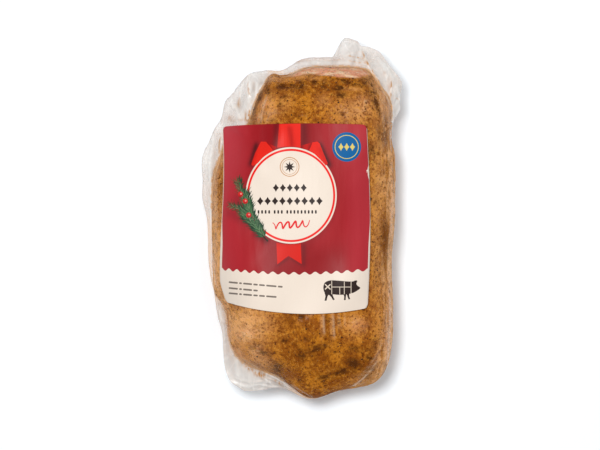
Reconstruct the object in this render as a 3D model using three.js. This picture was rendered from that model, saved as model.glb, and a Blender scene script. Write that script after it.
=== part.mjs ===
// A small glazed ham, sealed in a clear film bag with a printed label, lying with the label up.
//
// The bag is drawn tight over the ham, so the two make one solid: the loaf of the ham, with the
// bag's loose film standing out round it as thin flaps. The label is a thin sheet on top of it.
//
// Millimetres, +Z up. The origin is on the table, under the middle of the bag's box. +Y runs along
// the ham to its square end, and +X to the right of the label's print. Angles are in degrees,
// counterclockwise from +X as seen from above.
import * as THREE from "three";

// ---- Driving dimensions ----

// The loaf: half its width, its length from the middle to each end, its height, and the height of
// its widest line. The corner power makes its outline squarer as it grows.
const HAM = {
  halfWidth: 52.5,
  squareEnd: 88,
  roundEnd: 97.5,
  corner: 6.5,
  height: 58,
  girdle: 24,
};

// How full the loaf's top is: the power of its dome at the sides, and more towards the square end,
// where focus says how near to that end.
const DOME = { sidePower: 3, squareEndPower: 5.5, focus: 4 };

// The underside bellies down past the table by this share and is flat where it rests.
const UNDERSIDE = { power: 4, press: 1.12 };

// Where the loaf's outline leaves a plain rounded block: cuts and swellings by an angle.
const OUTLINE_FEATURES = [
  { name: "slanting shoulder", at: 119, by: -24, spread: 15 },
  { name: "shoulder's hollow", at: 121, by: -5.6, spread: 7.5 },
  { name: "shoulder's corner", at: 103, by: 2.7, spread: 3.2 },
  { name: "brow", at: 95.5, by: -2.6, spread: 5.2 },
  { name: "collar", at: 141, by: -4, spread: 10 },
  { name: "clipped corner", at: 60, by: -4, spread: 5 },
  { name: "waist", at: 42.5, by: -2.3, spread: 5.5 },
  { name: "flank", at: 331, by: -2.3, spread: 19 },
  { name: "heel's hollow", at: 230.5, by: -3, spread: 6 },
  { name: "slanting heel", at: 243, by: -13.5, spread: 18 },
  { name: "sole", at: 262, by: -2, spread: 9 },
  { name: "toe", at: 272, by: 7, spread: 8 },
];

// Low swellings of the meat, as crossed waves: wavelength across and along, rise and phase.
const SWELLINGS = [
  { across: 74, along: 118, rise: 1.5, phase: 0.6 },
  { across: -52, along: 63, rise: 0.9, phase: 2.1 },
  { across: 36, along: -48, rise: 0.4, phase: 4.0 },
];

// The film: the thickness of a flap of doubled, crumpled film, how far it stands out where it is
// drawn tight, how far a flap reaches to ruffle fully, and how steeply the film leaves a flap's
// edge above and below. It levels out and fades under the ham's skin over this many times the
// flap's width and a root, and eases into the skin.
const FILM = {
  thickness: 1.2,
  tightReach: 1.2,
  wideReach: 12,
  climb: 1.1,
  climbUnder: 0.5,
  fade: 1.5,
  root: 4,
  easing: 6,
};

// Loose flaps of film: where each stands, how far it reaches and spreads, how square it is, and how
// much its edge lifts above the ham's widest line, or droops below it.
const FLAPS = [
  { name: "corner flap's tip", at: 49.4, reach: 6.6, spread: 2, square: 4, lift: 0 },
  { name: "corner flap", at: 65, reach: 12, spread: 13.6, square: 16, lift: -4 },
  { name: "tab", at: 75.4, reach: 2.6, spread: 3.4, square: 6, lift: 3 },
  { name: "end flap", at: 84.5, reach: 4.7, spread: 9.5, square: 4, lift: 0 },
  { name: "brow fringe", at: 95.5, reach: 2.6, spread: 5.2, square: 2, lift: 0 },
  { name: "shoulder flap", at: 116.5, reach: 13, spread: 11.5, square: 4, lift: 7 },
  { name: "shoulder flap's root", at: 121, reach: 5.6, spread: 7.5, square: 2, lift: 0 },
  { name: "side flap", at: 140, reach: 8.5, spread: 14, square: 3.5, lift: 5 },
  { name: "side flap's tail", at: 163, reach: 5, spread: 13, square: 2.5, lift: 0 },
  { name: "side fringe", at: 193, reach: 1.6, spread: 22, square: 4, lift: 0 },
  { name: "heel fringe", at: 230, reach: 5, spread: 6, square: 2, lift: 0 },
  { name: "heel flap", at: 249, reach: 13.5, spread: 10.5, square: 2.5, lift: -6 },
  { name: "sole fringe", at: 262, reach: 2, spread: 9, square: 2, lift: 0 },
];

// Ruffles in the flaps' edges: turns round the whole bag and height.
const RUFFLES = [
  { turns: 17, rise: 0.9 },
  { turns: 29, rise: 0.6 },
];

// The label's edges where it lies, in plan. Its sides sway, its ends bow and turn a little, and its
// lower left corner tucks in where it rolls down the ham's side. It lies a small gap off the bag,
// and bridges hollows of about the reach given.
const LABEL = {
  left: -47,
  right: 37.4,
  top: 53.7,
  bottom: -50.5,
  leftSway: { rise: 1.1, rate: 2.6, phase: 0.2 },
  rightSway: { rise: 1.4, rate: 1.9, phase: 1.76 },
  topBow: 0.9,
  topTurn: 0.35,
  bottomBow: 4.3,
  bottomTurn: -1.5,
  tuck: { depth: 3.5, from: 0.7, to: 1.05 },
  cornerRadius: 2.5,
  thickness: 0.35,
  gap: 0.4,
  bridge: { reach: 5, bearings: 8, ease: 0.2 },
  slopeStep: 0.5,
};

// How finely the surfaces are cut into faces: round the bag, by rings at shares of its reach from
// the crown to the edge and on to the base, and in columns and rows on the label.
const MESH = {
  bagSegments: 124,
  outlineSteps: 1440,
  topRings: [
    0.07, 0.14, 0.21, 0.29, 0.37, 0.45, 0.53, 0.61, 0.69, 0.77, 0.84, 0.89, 0.93, 0.96, 0.983, 1,
  ],
  underRings: [1, 0.988, 0.965, 0.93, 0.88, 0.81, 0.72, 0.6, 0.4],
  labelColumns: 18,
  labelRows: 20,
  cornerRows: [0, 0.08, 0.3, 1],
};

// ---- The ham's and the bag's surfaces ----

const radians = (degrees) => (degrees * Math.PI) / 180;

// The turn from one angle to another, from -180 to 180 degrees.
const turn = (from, to) => ((((to - from + 180) % 360) + 360) % 360) - 180;

// A smooth hump of height 1 round zero: wider with spread, and squarer with its power.
const hump = (x, spread, power) => Math.exp(-Math.pow(Math.abs(x) / spread, power));

// The larger or smaller of two heights, with a rounded change from one to the other.
const easedMax = (a, b, ease) => (a + b + Math.hypot(a - b, ease)) / 2;
const easedMin = (a, b, ease) => (a + b - Math.hypot(a - b, ease)) / 2;

// How far the loaf reaches from the middle at an angle.
function hamReach(angle) {
  const end = Math.sin(radians(angle)) > 0 ? HAM.squareEnd : HAM.roundEnd;
  const across = Math.abs(Math.cos(radians(angle))) / HAM.halfWidth;
  const along = Math.abs(Math.sin(radians(angle))) / end;
  const block = Math.pow(across ** HAM.corner + along ** HAM.corner, -1 / HAM.corner);
  return OUTLINE_FEATURES.reduce(
    (reach, cut) => reach + cut.by * hump(turn(cut.at, angle), cut.spread, 2),
    block,
  );
}

// How far the film stands out past the loaf at an angle.
function flapReach(angle) {
  return FLAPS.reduce(
    (reach, flap) => reach + flap.reach * hump(turn(flap.at, angle), flap.spread, flap.square),
    FILM.tightReach,
  );
}

// The height of the middle of the film's edge at an angle.
function edgeHeight(angle) {
  const wide = Math.min(1, flapReach(angle) / FILM.wideReach);
  const ruffle = RUFFLES.reduce((sum, r) => sum + r.rise * Math.sin(r.turns * radians(angle)), 0);
  return FLAPS.reduce(
    (height, flap) => height + flap.lift * hump(turn(flap.at, angle), flap.spread, flap.square),
    HAM.girdle + wide * ruffle,
  );
}

// The meat's low swellings at a place on top.
function swelling(x, y) {
  return SWELLINGS.reduce(
    (sum, s) => sum + s.rise * Math.sin(2 * Math.PI * (x / s.across + y / s.along) + s.phase),
    0,
  );
}

// The height of the ham's own top at a share of its reach, and the fall beyond its outline.
function hamTop(share, angle, x, y) {
  if (share >= 1) return HAM.girdle;
  const squareness = Math.max(0, Math.sin(radians(angle))) ** DOME.focus;
  const power = DOME.sidePower + squareness * (DOME.squareEndPower - DOME.sidePower);
  const dome = Math.sqrt(1 - share ** power);
  return HAM.girdle + (HAM.height - HAM.girdle + swelling(x, y)) * dome;
}

// The height of the ham's own underside, which is flat where it rests.
function hamUnder(share) {
  if (share >= 1) return HAM.girdle;
  const belly = Math.sqrt(1 - share ** UNDERSIDE.power);
  return HAM.girdle * (1 - UNDERSIDE.press * belly);
}

// How far a flap has risen at a distance in from its edge, before its climb is counted.
function flapRun(inward, angle) {
  return inward * hump(inward, FILM.fade * (flapReach(angle) + FILM.root), 2);
}

// The bag's surface at a distance from the middle: over the ham, and down to the flap's edge.
function bagTop(distance, angle) {
  const x = distance * Math.cos(radians(angle));
  const y = distance * Math.sin(radians(angle));
  const inward = Math.max(0, hamReach(angle) + flapReach(angle) - distance);
  const film = edgeHeight(angle) + FILM.thickness / 2 + flapRun(inward, angle) * FILM.climb;
  const ease = Math.min(FILM.easing, inward);
  return easedMax(hamTop(distance / hamReach(angle), angle, x, y), film, ease);
}

// The same surface underneath, never below the table.
function bagUnder(distance, angle) {
  const inward = Math.max(0, hamReach(angle) + flapReach(angle) - distance);
  const film = edgeHeight(angle) - FILM.thickness / 2 - flapRun(inward, angle) * FILM.climbUnder;
  const ease = Math.min(FILM.easing, inward);
  return Math.max(0, easedMin(hamUnder(distance / hamReach(angle)), film, ease));
}

// The bag's top at a place in plan.
function bagTopAt(x, y) {
  return bagTop(Math.hypot(x, y), THREE.MathUtils.radToDeg(Math.atan2(y, x)));
}

// How high a sheet laid on the bag is at a place: on the humps, and bridging the hollows.
function sheetHeight(x, y) {
  const { reach, bearings, ease } = LABEL.bridge;
  let around = 0;
  for (let i = 0; i < bearings; i++) {
    const bearing = (2 * Math.PI * i) / bearings;
    around += bagTopAt(x + reach * Math.cos(bearing), y + reach * Math.sin(bearing));
  }
  return easedMax(bagTopAt(x, y), around / bearings, ease);
}

// A place on a sheet laid on the bag, with its upward normal.
function sheetAt(x, y) {
  const step = LABEL.slopeStep;
  const slopeX = (sheetHeight(x + step, y) - sheetHeight(x - step, y)) / (2 * step);
  const slopeY = (sheetHeight(x, y + step) - sheetHeight(x, y - step)) / (2 * step);
  return {
    point: new THREE.Vector3(x, y, sheetHeight(x, y)),
    normal: new THREE.Vector3(-slopeX, -slopeY, 1).normalize(),
  };
}

// Angles spaced evenly along the bag's outline, so that steep steps in it are cut finely too.
function outlineAngles(count) {
  const outline = [];
  for (let i = 0; i < MESH.outlineSteps; i++) {
    const angle = (360 * i) / MESH.outlineSteps;
    const reach = hamReach(angle) + flapReach(angle);
    outline.push(new THREE.Vector2(reach, 0).rotateAround(new THREE.Vector2(), radians(angle)));
  }
  const lengths = [0];
  outline.forEach((point, i) => {
    lengths.push(lengths[i] + point.distanceTo(outline[(i + 1) % outline.length]));
  });
  const angles = [];
  for (let i = 0, k = 0; i < count; i++) {
    const wanted = (lengths[MESH.outlineSteps] * i) / count;
    while (lengths[k + 1] < wanted) k++;
    const part = (wanted - lengths[k]) / (lengths[k + 1] - lengths[k]);
    angles.push((360 * (k + part)) / MESH.outlineSteps);
  }
  return angles;
}

// ---- Solids ----

// A closed surface from rings of points, each a list of the same length, with a point at each end.
function ringSolid(first, rings, last) {
  const points = [first, ...rings.flat(), last];
  const count = rings[0].length;
  const faces = [];
  const at = (ring, i) => 1 + ring * count + (i % count);
  for (let i = 0; i < count; i++) {
    faces.push(0, at(0, i), at(0, i + 1));
    for (let ring = 0; ring < rings.length - 1; ring++) {
      faces.push(at(ring, i), at(ring + 1, i), at(ring + 1, i + 1));
      faces.push(at(ring, i), at(ring + 1, i + 1), at(ring, i + 1));
    }
    faces.push(points.length - 1, at(rings.length - 1, i + 1), at(rings.length - 1, i));
  }
  return new THREE.BufferGeometry().setFromPoints(points).setIndex(faces);
}

// The sealed bag and the ham in it.
function bagGeometry() {
  const angles = outlineAngles(MESH.bagSegments);
  const ring = (share, height) =>
    angles.map((angle) => {
      const distance = share * (hamReach(angle) + flapReach(angle));
      const x = distance * Math.cos(radians(angle));
      const y = distance * Math.sin(radians(angle));
      return new THREE.Vector3(x, y, height(distance, angle));
    });
  const rings = [
    ...MESH.topRings.map((share) => ring(share, bagTop)),
    ...MESH.underRings.map((share) => ring(share, bagUnder)),
  ];
  const crown = new THREE.Vector3(0, 0, bagTop(0, 0));
  return ringSolid(crown, rings, new THREE.Vector3(0, 0, bagUnder(0, 0)));
}

// A place on the label, from -1 to 1 across and up it, in plan.
function labelPlan(across, up) {
  const low = Math.max(0, -up) ** 2;
  const high = Math.max(0, up) ** 2;
  const middle = 1 - across ** 2;
  const sway = ({ rise, rate, phase }) => rise * Math.sin(rate * up + phase);
  const tuck = LABEL.tuck.depth * THREE.MathUtils.smoothstep(-up, LABEL.tuck.from, LABEL.tuck.to);
  const left = LABEL.left + sway(LABEL.leftSway) + tuck;
  const right = LABEL.right + sway(LABEL.rightSway);
  const fromEnd = (1 - Math.abs(up)) * ((LABEL.top - LABEL.bottom) / 2);
  const inset = Math.max(0, LABEL.cornerRadius - fromEnd);
  const rounding = LABEL.cornerRadius - Math.sqrt(LABEL.cornerRadius ** 2 - inset ** 2);
  const x = THREE.MathUtils.lerp(left + rounding, right - rounding, (across + 1) / 2);
  const y =
    THREE.MathUtils.lerp(LABEL.bottom, LABEL.top, (up + 1) / 2) +
    high * (LABEL.topBow * middle + LABEL.topTurn * across) -
    low * (LABEL.bottomBow * middle - LABEL.bottomTurn * across);
  return [x, y];
}

// Rows up the label, closer together at its rounded corners.
function labelRows() {
  const half = (LABEL.top - LABEL.bottom) / 2;
  const corner = MESH.cornerRows.map((part) => 1 - (part * LABEL.cornerRadius) / half);
  const inner = [];
  const reach = corner[corner.length - 1];
  for (let i = 1; i < MESH.labelRows; i++) inner.push(reach * ((2 * i) / MESH.labelRows - 1));
  return [...corner.map((up) => -up), ...inner, ...corner.reverse()];
}

// The label: a sheet of even thickness that follows the bag's top at a small gap.
function labelGeometry() {
  const rows = labelRows();
  const columns = MESH.labelColumns + 1;
  const points = [];
  for (const lift of [LABEL.gap, LABEL.gap + LABEL.thickness])
    for (const up of rows)
      for (let i = 0; i < columns; i++) {
        const { point, normal } = sheetAt(...labelPlan((2 * i) / MESH.labelColumns - 1, up));
        points.push(point.addScaledVector(normal, lift));
      }
  const upper = rows.length * columns;
  const faces = [];
  const quad = (a, b, c, d) => faces.push(a, b, c, a, c, d);
  for (let row = 0; row < rows.length - 1; row++)
    for (let i = 0; i < columns - 1; i++) {
      const a = row * columns + i;
      quad(upper + a, upper + a + 1, upper + a + columns + 1, upper + a + columns);
      quad(a, a + columns, a + columns + 1, a + 1);
    }
  const border = [];
  for (let i = 0; i < columns - 1; i++) border.push(i);
  for (let row = 0; row < rows.length - 1; row++) border.push(row * columns + columns - 1);
  for (let i = columns - 1; i > 0; i--) border.push((rows.length - 1) * columns + i);
  for (let row = rows.length - 1; row > 0; row--) border.push(row * columns);
  border.forEach((a, i) => {
    const b = border[(i + 1) % border.length];
    quad(a, b, upper + b, upper + a);
  });
  return new THREE.BufferGeometry().setFromPoints(points).setIndex(faces);
}

// ---- Scene graph ----

function piece(name, geometry, material) {
  geometry.computeVertexNormals();
  const mesh = new THREE.Mesh(geometry, material);
  mesh.name = name;
  return mesh;
}

const glazedHam = new THREE.MeshStandardMaterial({ color: "#b4773a", roughness: 0.35 });
const labelPaper = new THREE.MeshStandardMaterial({ color: "#b0343b", roughness: 0.55 });

const pack = new THREE.Group();
pack.add(piece("sealed_bag", bagGeometry(), glazedHam));
pack.add(piece("label", labelGeometry(), labelPaper));

// Sets the origin under the middle of the bag's box.
const box = new THREE.Box3().setFromObject(pack);
const middle = box.getCenter(new THREE.Vector3());
pack.position.set(-middle.x, -middle.y, 0);

const packedHam = new THREE.Group();
packedHam.add(pack);

export default packedHam;
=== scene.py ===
"""A small glazed ham, sealed in a clear film bag with a printed label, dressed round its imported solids.

The ham, the film and the label replace the two solids and follow the same formulas. Lengths in the
classes are in millimetres in the pack's own plan, whose middle is where the ham's outline is
measured from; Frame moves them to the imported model's place in metres.
"""

import logging
import math
from collections.abc import Mapping, Sequence
from dataclasses import dataclass
from enum import Enum
from typing import TypeVar

import bmesh
import bpy
import numpy as np
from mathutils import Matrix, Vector
from mathutils.geometry import delaunay_2d_cdt


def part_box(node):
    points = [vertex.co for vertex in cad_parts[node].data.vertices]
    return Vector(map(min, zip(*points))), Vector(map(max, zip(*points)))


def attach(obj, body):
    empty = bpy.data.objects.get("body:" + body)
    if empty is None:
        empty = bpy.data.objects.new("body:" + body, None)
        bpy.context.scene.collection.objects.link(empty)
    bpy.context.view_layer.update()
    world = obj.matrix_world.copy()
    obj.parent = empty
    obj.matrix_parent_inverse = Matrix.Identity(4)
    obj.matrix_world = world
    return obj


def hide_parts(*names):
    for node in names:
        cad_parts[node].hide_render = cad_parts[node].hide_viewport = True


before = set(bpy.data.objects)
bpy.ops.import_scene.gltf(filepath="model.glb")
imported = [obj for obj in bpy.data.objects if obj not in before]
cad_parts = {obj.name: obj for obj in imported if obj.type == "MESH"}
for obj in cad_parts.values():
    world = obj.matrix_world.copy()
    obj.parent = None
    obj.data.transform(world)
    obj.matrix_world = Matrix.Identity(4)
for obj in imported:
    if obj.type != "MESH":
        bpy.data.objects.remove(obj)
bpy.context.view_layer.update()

Array = np.ndarray
Colour = tuple[float, float, float]
Plan = tuple[float, float]
Outline = Sequence[Plan]
Piece = bpy.types.Object
Material = bpy.types.Material
Kind = TypeVar("Kind")

MM = 0.001
TAU = 2 * math.pi
LOG = logging.getLogger("glazed_ham")


# ---- Numbers ----


def placed(distance: Array, angle: Array) -> tuple[Array, Array]:
    """The places in plan at distances from the middle and angles in degrees."""
    return distance * np.cos(np.radians(angle)), distance * np.sin(np.radians(angle))


def turn(start: float, end: Array) -> Array:
    """The turn in degrees from one angle to others, from -180 to 180."""
    return (end - start + 180) % 360 - 180


def hump(x: Array, spread: float | Array, power: float = 2.0) -> Array:
    """A smooth hump of height 1 round zero, wider with spread and squarer with its power."""
    return np.exp(-np.abs(x / spread) ** power)


def smoothstep(low: float, high: float, x: Array) -> Array:
    """A smooth change from 0 at low to 1 at high."""
    t = np.clip((x - low) / (high - low), 0, 1)
    return t * t * (3 - 2 * t)


def eased_max(a: Array, b: Array, ease: float | Array) -> Array:
    """The larger of two heights, with a rounded change from one to the other."""
    return (a + b + np.hypot(a - b, ease)) / 2


def eased_min(a: Array, b: Array, ease: float | Array) -> Array:
    """The smaller of two heights, with a rounded change from one to the other."""
    return (a + b - np.hypot(a - b, ease)) / 2


def several(kind: type[Kind], *rows: tuple[float, ...]) -> tuple[Kind, ...]:
    """Things of one kind, each made from a row of its numbers."""
    return tuple(kind(*row) for row in rows)


class Noise:
    """Smooth seeded noise over points in space, from about -1 to 1."""

    _gain: float = 1.6
    _layer_shift: float = 17.3
    _fold_shift: float = 9.1

    def __init__(self, seed: int) -> None:
        """Draws the noise's own table of slopes.

        Args:
            seed: The number that fixes the table.
        """
        draw = np.random.default_rng(seed)
        self._order = np.tile(draw.permutation(256), 3)
        slopes = draw.normal(size=(256, 3))
        self._slopes = slopes / np.linalg.norm(slopes, axis=1, keepdims=True)

    def at(self, points: Array) -> Array:
        """The noise at points given in cells of the noise.

        Args:
            points: An array whose last axis is X, Y and Z.

        Returns:
            One value for each point.
        """
        cell = np.floor(points).astype(int)
        part = points - cell
        fade = part**3 * (part * (part * 6 - 15) + 10)
        total = np.zeros(points.shape[:-1])
        for corner in np.ndindex(2, 2, 2):
            index = (cell + corner) & 255
            mixed = self._order[self._order[self._order[index[..., 0]] + index[..., 1]] + index[..., 2]]
            away = np.sum(self._slopes[mixed] * (part - corner), axis=-1)
            share = np.prod(np.where(np.array(corner) == 1, fade, 1 - fade), axis=-1)
            total += away * share
        return total * self._gain

    def layered(self, points: Array, octaves: int) -> Array:
        """The noise with finer, weaker layers added to it, each half the size of the one before."""
        layers = (self.at(points * 2**i + self._layer_shift * i) / 2**i for i in range(octaves))
        return np.sum(list(layers), axis=0) / (2 - 2 ** (1 - octaves))

    def creased(self, points: Array, octaves: int) -> Array:
        """Layered noise folded into sharp crests, from 0 in the hollows to 1 on a crest."""
        layers = ((1 - np.abs(self.at(points * 2**i + self._fold_shift * i))) / 2**i for i in range(octaves))
        return np.sum(list(layers), axis=0) / (2 - 2 ** (1 - octaves))


# ---- The pack's form, as its solids have it ----


@dataclass(frozen=True)
class Cut:
    """A place where the loaf's outline leaves a rounded block: its angle, depth and spread."""

    at: float
    by: float
    spread: float


@dataclass(frozen=True)
class Swelling:
    """A low wave of the meat: wavelengths across and along, rise and phase."""

    across: float
    along: float
    rise: float
    phase: float


@dataclass(frozen=True)
class Flap:
    """A loose flap of film: its angle, reach, spread and squareness, and its edge's lift."""

    at: float
    reach: float
    spread: float
    square: float
    lift: float


@dataclass(frozen=True)
class PackForm:
    """The ham's loaf and the film round it, as heights over a plan in polar form."""

    half_width: float = 52.5
    square_end: float = 88.0
    round_end: float = 97.5
    corner: float = 6.5
    height: float = 58.0
    girdle: float = 24.0
    side_power: float = 3.0
    end_power: float = 5.5
    end_focus: float = 4.0
    belly_power: float = 4.0
    belly_press: float = 1.12
    film_thickness: float = 1.2
    tight_reach: float = 1.2
    fill: float = 0.8
    fill_power: float = 8.0
    wide_reach: float = 12.0
    climb: float = 1.1
    climb_under: float = 0.5
    fade: float = 1.5
    root: float = 4.0
    easing: float = 6.0
    solid_stations: int = 124
    fine_steps: int = 2880
    cuts: tuple[Cut, ...] = several(
        Cut,
        (119, -24, 15), (121, -5.6, 7.5), (103, 2.7, 3.2), (95.5, -2.6, 5.2), (141, -4, 10), (60, -4, 5),
        (42.5, -2.3, 5.5), (331, -2.3, 19), (230.5, -3, 6), (243, -13.5, 18), (262, -2, 9), (272, 7, 8),
    )
    swellings: tuple[Swelling, ...] = several(
        Swelling,
        (74, 118, 1.5, 0.6), (-52, 63, 0.9, 2.1), (36, -48, 0.4, 4),
    )
    flaps: tuple[Flap, ...] = several(
        Flap,
        (49.4, 6.6, 2, 4, 0), (65, 12, 13.6, 16, -4), (75.4, 2.6, 3.4, 6, 3), (84.5, 4.7, 9.5, 4, 0),
        (95.5, 2.6, 5.2, 2, 0), (116.5, 13, 11.5, 4, 7), (121, 5.6, 7.5, 2, 0), (140, 8.5, 14, 3.5, 5),
        (163, 5, 13, 2.5, 0), (193, 1.6, 22, 4, 0), (230, 5, 6, 2, 0), (249, 13.5, 10.5, 2.5, -6),
        (262, 2, 9, 2, 0),
    )
    ruffles: tuple[tuple[int, float], ...] = ((17, 0.9), (29, 0.6))

    def ham_reach(self, angle: Array) -> Array:
        """How far the loaf reaches from the middle.

        Args:
            angle: Angles in degrees.

        Returns:
            The reaches.
        """
        along = np.sin(np.radians(angle))
        end = np.where(along > 0, self.square_end, self.round_end)
        across = np.abs(np.cos(np.radians(angle))) / self.half_width
        block = (across**self.corner + (np.abs(along) / end) ** self.corner) ** (-1 / self.corner)
        return block + sum(cut.by * hump(turn(cut.at, angle), cut.spread) for cut in self.cuts)

    def flap_reach(self, angle: Array) -> Array:
        """How far the film stands out past the loaf at angles in degrees."""
        humps = (f.reach * hump(turn(f.at, angle), f.spread, f.square) for f in self.flaps)
        return self.tight_reach + sum(humps)

    def edge_reach(self, angle: Array) -> Array:
        """How far the film's edge is from the middle at angles in degrees."""
        return self.ham_reach(angle) + self.flap_reach(angle)

    def filled(self, share: Array, angle: Array) -> Array:
        """How much further out the ham swells where the film is tight, at shares of its reach."""
        tight = 1 - smoothstep(0.3, 2.0, self.flap_reach(angle) - self.tight_reach)
        return self.fill * tight * np.clip(share, 0, 1) ** self.fill_power

    def edge_height(self, angle: Array) -> Array:
        """The height of the middle of the film's edge.

        Args:
            angle: Angles in degrees.

        Returns:
            The heights.
        """
        wide = np.minimum(1, self.flap_reach(angle) / self.wide_reach)
        ruffle = sum(rise * np.sin(turns * np.radians(angle)) for turns, rise in self.ruffles)
        lift = sum(f.lift * hump(turn(f.at, angle), f.spread, f.square) for f in self.flaps)
        return self.girdle + wide * ruffle + lift

    def ham_top(self, share: Array, angle: Array, x: Array, y: Array) -> Array:
        """The height of the ham's own top.

        Args:
            share: Shares of the ham's reach.
            angle: Angles in degrees.
            x: The places' X.
            y: The places' Y.

        Returns:
            The heights.
        """
        focus = np.maximum(0, np.sin(np.radians(angle))) ** self.end_focus
        power = self.side_power + focus * (self.end_power - self.side_power)
        dome = np.sqrt(1 - np.clip(share, 0, 1) ** power)
        swell = sum(s.rise * np.sin(TAU * (x / s.across + y / s.along) + s.phase) for s in self.swellings)
        return self.girdle + (self.height - self.girdle + swell) * dome

    def ham_under(self, share: Array) -> Array:
        """The height of the ham's own underside at shares of its reach."""
        belly = np.sqrt(1 - np.clip(share, 0, 1) ** self.belly_power)
        return self.girdle * (1 - self.belly_press * belly)

    def bag(self, distance: Array, angle: Array, top: bool) -> Array:
        """The height of the bag's top or underside, with the ham and the film eased together.

        Args:
            distance: Distances from the middle.
            angle: Angles in degrees.
            top: Whether it's the top rather than the underside.

        Returns:
            The heights.
        """
        share = distance / self.ham_reach(angle)
        inward = np.maximum(0, self.edge_reach(angle) - distance)
        run = inward * hump(inward, self.fade * (self.flap_reach(angle) + self.root))
        ease = np.minimum(self.easing, inward)
        if not top:
            film = self.edge_height(angle) - self.film_thickness / 2 - run * self.climb_under
            return np.maximum(0, eased_min(self.ham_under(share), film, ease))
        film = self.edge_height(angle) + self.film_thickness / 2 + run * self.climb
        return eased_max(self.ham_top(share, angle, *placed(distance, angle)), film, ease)

    def bag_top_at(self, x: Array, y: Array) -> Array:
        """The height of the bag's top at places in plan."""
        return self.bag(np.hypot(x, y), np.degrees(np.arctan2(y, x)), top=True)

    def sheet_height(self, x: Array, y: Array) -> Array:
        """The height of a sheet laid on the bag: on its humps, and bridging its hollows.

        Args:
            x: The places' X.
            y: The places' Y.

        Returns:
            The heights.
        """
        reach, bearings, ease = 5.0, 8, 0.2
        turns = [TAU * i / bearings for i in range(bearings)]
        around = sum(self.bag_top_at(x + reach * math.cos(t), y + reach * math.sin(t)) for t in turns)
        return eased_max(self.bag_top_at(x, y), around / bearings, ease)

    def outline_angles(self, count: int) -> Array:
        """Angles in degrees spaced evenly along the bag's outline.

        Args:
            count: How many.

        Returns:
            The angles.
        """
        fine = np.linspace(0, 360, self.fine_steps + 1)
        steps = np.hypot(*np.diff(placed(self.edge_reach(fine), fine)))
        lengths = np.concatenate([[0], np.cumsum(steps)])
        return np.interp(np.arange(count) / count * lengths[-1], lengths, fine)


FORM = PackForm()


class Frame:
    """Moves points of the plan, in millimetres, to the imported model's place in metres."""

    def __init__(self, node: str) -> None:
        """Finds the plan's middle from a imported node's box.

        Args:
            node: The node whose outline the pack's form gives.
        """
        low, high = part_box(node)
        angles = FORM.outline_angles(FORM.solid_stations)
        x, y = (side * MM for side in placed(FORM.edge_reach(angles), angles))
        self.shift = np.array([
            (low.x + high.x - x.min() - x.max()) / 2,
            (low.y + high.y - y.min() - y.max()) / 2,
            low.z,
        ])

    def place(self, points: Array) -> Array:
        """Points in metres in the model's frame, from points in millimetres in the plan."""
        return points * MM + self.shift


# ---- Meshes ----


def added(name: str, data: bpy.types.ID) -> Piece:
    """Makes an object of the data and links it into the scene.

    Args:
        name: The object's name.
        data: Its mesh, light or camera.

    Returns:
        The new object.
    """
    made = bpy.data.objects.new(name, data)
    bpy.context.collection.objects.link(made)
    return made


class Maker:
    def __init__(self, place: Frame) -> None:
        """Keeps the frame that every mesh is placed in."""
        self.frame = place

    def mesh(self, name: str, points: Array, faces: Sequence[Sequence[int]]) -> Piece:
        """Makes a smooth mesh object.

        Args:
            name: The piece's name.
            points: Its points in the plan, in millimetres.
            faces: Its faces, as indices of points.

        Returns:
            The new object, linked into the scene.
        """
        data = bpy.data.meshes.new(name)
        data.from_pydata(self.frame.place(np.asarray(points)).tolist(), [], faces)
        data.polygons.foreach_set("use_smooth", [True] * len(data.polygons))
        data.update()
        return added(name, data)

    def rings(self, name: str, first: Array, rings: Array, last: Array) -> Piece:
        """Makes a closed mesh from rings of points with a point at each end.

        Args:
            name: The piece's name.
            first: The point inside the first ring.
            rings: Points as rings, stations and XYZ, counterclockwise seen from the first point.
            last: The point inside the last ring.

        Returns:
            The new object.
        """
        count, stations = rings.shape[:2]
        points = np.concatenate([first[None], rings.reshape(-1, 3), last[None]])
        here = np.arange(stations)
        after = (here + 1) % stations
        start = 1 + (np.arange(count - 1) * stations)[:, None]
        quads = np.stack([start + here, start + stations + here, start + stations + after, start + after], -1)
        top = np.stack([np.zeros_like(here), 1 + here, 1 + after], -1)
        end = 1 + (count - 1) * stations
        bottom = np.stack([np.full_like(here, len(points) - 1), end + after, end + here], -1)
        faces = top.tolist() + quads.reshape(-1, 4).tolist() + bottom.tolist()
        return self.mesh(name, points, faces)

    @staticmethod
    def mark(piece: Piece, **marks: Array) -> None:
        """Stores named values for each point of a piece, for its material to read.

        Args:
            piece: The piece.
            **marks: A value for each of its points, by the mark's name.
        """
        for name, values in marks.items():
            attribute = piece.data.attributes.new(name, "FLOAT", "POINT")
            attribute.data.foreach_set("value", np.asarray(values, dtype=np.float32).ravel())

    @staticmethod
    def finish(piece: Piece, material: Material, slot: str, *nodes: str) -> Piece:
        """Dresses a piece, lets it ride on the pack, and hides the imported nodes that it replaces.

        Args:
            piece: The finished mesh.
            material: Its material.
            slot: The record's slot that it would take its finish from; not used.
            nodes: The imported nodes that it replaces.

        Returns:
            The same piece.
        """
        piece.data.materials.clear()
        piece.data.materials.append(material)
        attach(piece, "root")
        if nodes:
            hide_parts(*nodes)
        piece.data.calc_loop_triangles()
        LOG.info("%s: %d triangles", piece.name, len(piece.data.loop_triangles))
        return piece


# ---- Node trees ----


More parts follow.
